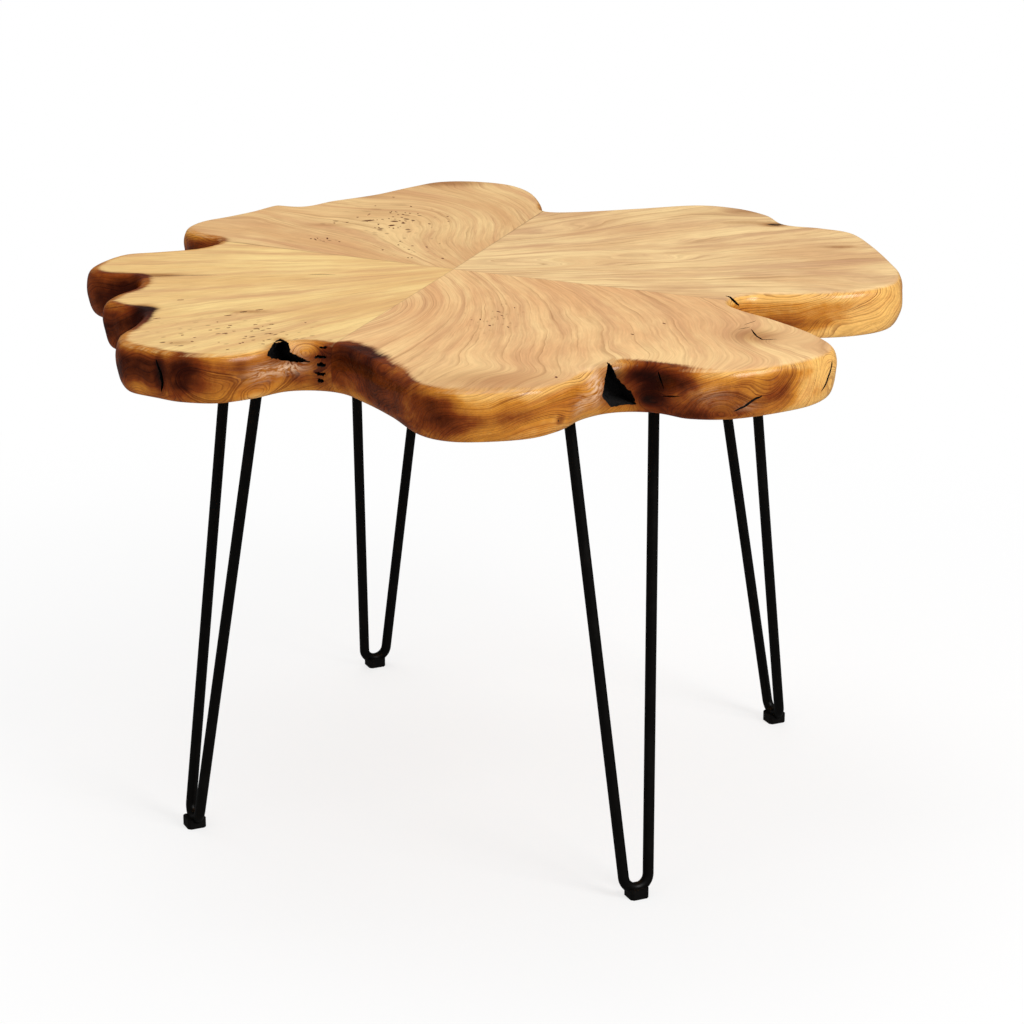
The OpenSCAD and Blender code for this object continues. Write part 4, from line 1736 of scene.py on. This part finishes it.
    def build(self, figure: bpy.types.NodeTree, tone: bpy.types.NodeTree) -> None:
        """Builds, cuts, marks and dresses the four slabs.

        Args:
            figure: The group that draws the wood.
            tone: The group that tells the top from the live edge.
        """
        bark = self.bark.make()
        nick = self.nick.make()
        for slab in self.slabs:
            finishes = {Cut.WOOD: slab.wood.make(figure, tone), Cut.BARK: bark, Cut.NICK: nick}
            piece = bpy.data.objects.new(slab.node + "_live", self.blank(slab))
            bpy.context.scene.collection.objects.link(piece)
            cutters = self.cutters(slab)
            for mesh in (piece.data, cutters.data):
                for cut in Cut:
                    mesh.materials.append(finishes[cut])
            self.hollow_out(piece, cutters)
            piece.data.shade_smooth()
            piece.data.set_sharp_from_angle(angle=math.radians(self.sharp_angle))
            self.mark(slab, piece.data)
            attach(piece, BODY)
            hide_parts(slab.node)
            LOG.info("%s: %d faces", piece.name, len(piece.data.polygons))


@dataclass
class LegsAndFixings:
    """The hairpin legs with their plates, screws and foot clips, and the dowels.

    They are the nodes of the part itself, in their own finishes.
    """

    powder: Coating = Coating("leg_powder_coat", (6, 4, 2), (22, 18, 14),
                              rough=0.42, grain=1.1 * MM, relief=0.12 * MM)
    rubber: Coating = Coating("foot_clip_black", (8, 6, 5), (34, 30, 26),
                              rough=0.6, grain=0.7 * MM, relief=0.1 * MM)
    screw: Coating = Coating("screw_black_steel", (30, 29, 29), (60, 56, 52),
                             rough=0.38, grain=0.5 * MM, relief=0.05 * MM, metal=0.6)
    dowel: DowelWood = DowelWood()

    def build(self, figure: bpy.types.NodeTree, relief: bpy.types.NodeTree) -> None:
        """Gives each node of the legs and fixings its finish.

        Args:
            figure: The group that draws the wood.
            relief: The group for the fine relief and the dust.
        """
        powder, rubber, screw = (finish.make(relief) for finish in (self.powder, self.rubber, self.screw))
        dowel = self.dowel.make(figure)
        for corner in Corner:
            for family, finish in (("leg_plate_", powder), ("leg_rod_", powder), ("foot_clip_", rubber),
                                   ("plate_screws_", screw)):
                self.dress(family + corner.value, finish)
        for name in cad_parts:
            if name.startswith("dowels_"):
                self.dress(name, dowel)

    def dress(self, name: str, finish: bpy.types.Material) -> None:
        """Puts a finish on one node of the part.

        Args:
            name: The node's name.
            finish: The finish.
        """
        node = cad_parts[name]
        for slot in node.material_slots:
            slot.material = finish
        LOG.info("%s: %s", name, finish.name)


@dataclass(frozen=True)
class Lamp:
    """One soft lamp: where it stands, what it looks at and its size, in metres, and its power in watts."""

    name: str
    at: Place
    aim: Place
    size: float
    power: float
    mirrored: bool = False

    def build(self) -> None:
        """Adds the lamp."""
        light = bpy.data.lights.new(self.name, "AREA")
        light.shape, light.size, light.energy = "DISK", self.size, self.power
        lamp = bpy.data.objects.new(self.name, light)
        lamp.location = self.at
        lamp.visible_glossy = self.mirrored
        lamp.rotation_euler = (Vector(self.aim) - Vector(self.at)).to_track_quat("-Z", "Y").to_euler()
        bpy.context.scene.collection.objects.link(lamp)


@dataclass
class Studio:
    """Pale floor, white surround, soft lamps, and the camera where the photograph was taken.

    The sheen is how bright the surround and the floor are in reflections. The floor's glow grows from
    its least, near the table, to full white at the end of its fade.
    """

    lamps: tuple[Lamp, ...] = (
        Lamp("key", (1.9, -1.7, 2.3), (0.05, -0.1, 0.45), 1.3, 52, mirrored=True),
        Lamp("fill", (-2.6, -2.4, 1.5), (0, 0, 0.4), 2.2, 14),
        Lamp("overhead", (-0.4, 1.0, 2.8), (0, 0, 0.5), 1.8, 26),
    )
    camera_at: Place = (0.0209, -3.2029, 1.3735)
    camera_down: float = 18.86
    lens: float = 118.0
    sensor: float = 36
    shift: tuple[float, float] = (-0.0033, -0.0057)
    ambient: float = 0.6
    sheen: float = 0.12
    floor_reach: float = 9.0
    floor_rings: int = 24
    floor_spokes: int = 96
    floor_grey: float = 0.86
    floor_fade: tuple[float, float] = (0.25, 1.3)
    floor_glow: float = 0.72

    def build(self) -> None:
        """Builds the surround, the floor, the lamps and the camera."""
        self.surround()
        self.floor()
        for lamp in self.lamps:
            lamp.build()
        self.camera()
        bpy.context.scene.view_settings.view_transform = "Standard"

    def surround(self) -> None:
        """Makes the surround white to the camera, softer as a light, and softer still in reflections."""
        world = bpy.data.worlds.new("studio")
        bpy.context.scene.world = world
        world.use_nodes = True
        board = Board(world.node_tree)
        seen = board.node("ShaderNodeLightPath").outputs
        white = board.math("MAXIMUM", seen["Is Camera Ray"], seen["Is Transmission Ray"])
        soft = board.step(seen["Is Glossy Ray"], 0.0, 1.0, self.ambient, self.sheen)
        back = world.node_tree.nodes["Background"]
        back.inputs["Color"].default_value = (1, 1, 1, 1)
        board.feed(back.inputs["Strength"], board.math("MAXIMUM", soft, white))

    def floor(self) -> None:
        """Builds the round floor, with finer faces near the table."""
        shape = bmesh.new()
        middle = shape.verts.new((0, 0, 0))
        loops = []
        for ring in range(1, self.floor_rings + 1):
            reach = self.floor_reach * (ring / self.floor_rings) ** 2
            loops.append([shape.verts.new((reach * math.cos(turn), reach * math.sin(turn), 0))
                          for turn in np.arange(self.floor_spokes) * 2 * math.pi / self.floor_spokes])
        for spoke in range(self.floor_spokes):
            shape.faces.new((middle, loops[0][spoke - 1], loops[0][spoke]))
            for one, two in zip(loops, loops[1:]):
                shape.faces.new((one[spoke - 1], two[spoke - 1], two[spoke], one[spoke]))
        mesh = bpy.data.meshes.new("floor")
        shape.to_mesh(mesh)
        shape.free()
        floor = bpy.data.objects.new("floor", mesh)
        bpy.context.scene.collection.objects.link(floor)
        mesh.materials.append(self.floor_finish())

    def floor_finish(self) -> bpy.types.Material:
        """Builds the floor's material: it fades to white, keeps the table's shadow, and is clear from below.

        Returns:
            The finished material.
        """
        made = bpy.data.materials.new("pale_floor")
        made.use_nodes = True
        board = Board(made.node_tree)
        made.node_tree.nodes.remove(made.node_tree.nodes["Principled BSDF"])
        matt = board.node("ShaderNodeBsdfDiffuse", None, Color=(*[self.floor_grey] * 3, 1))
        glow = board.node("ShaderNodeEmission", None, Color=(1, 1, 1, 1), Strength=1.0)
        seen = board.node("ShaderNodeLightPath").outputs
        away = board.node("ShaderNodeVectorMath", {"operation": "LENGTH"}, Vector=board.place())
        faded = board.step(away.outputs["Value"], *self.floor_fade, self.floor_glow, 1.0)
        share = board.math("MULTIPLY", seen["Is Camera Ray"], faded)
        share = board.math("MAXIMUM", share, seen["Is Glossy Ray"])
        board.feed(glow.inputs["Strength"], board.step(seen["Is Glossy Ray"], 0.0, 1.0, 1.0, self.sheen))
        blend = board.node("ShaderNodeMixShader", None, Fac=share)
        board.feed(blend.inputs[1], matt.outputs[0])
        board.feed(blend.inputs[2], glow.outputs[0])
        under = board.node("ShaderNodeNewGeometry").outputs["Backfacing"]
        sided = board.node("ShaderNodeMixShader", None, Fac=under)
        board.feed(sided.inputs[1], blend.outputs[0])
        board.feed(sided.inputs[2], board.node("ShaderNodeBsdfTransparent").outputs[0])
        board.feed(made.node_tree.nodes["Material Output"].inputs["Surface"], sided.outputs[0])
        return made

    def camera(self) -> None:
        """Sets the camera in front of the table and a little above it, looking down along Y."""
        data = bpy.data.cameras.new("camera")
        data.lens = self.lens
        data.sensor_width = self.sensor
        data.shift_x, data.shift_y = self.shift
        camera = bpy.data.objects.new("camera", data)
        camera.location = self.camera_at
        camera.rotation_euler = (math.radians(90 - self.camera_down), 0, 0)
        bpy.context.scene.collection.objects.link(camera)
        bpy.context.scene.camera = camera


def main() -> None:
    """Builds the top, dresses the legs and fixings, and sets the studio."""
    logging.basicConfig(level=logging.INFO, format="%(message)s")
    figure, tone, relief = wood_figure_group(), edge_tone_group(), fine_relief_group()
    LiveEdgeTop().build(figure, tone)
    LegsAndFixings().build(figure, relief)
    Studio().build()


if __name__ == "__main__":
    main()
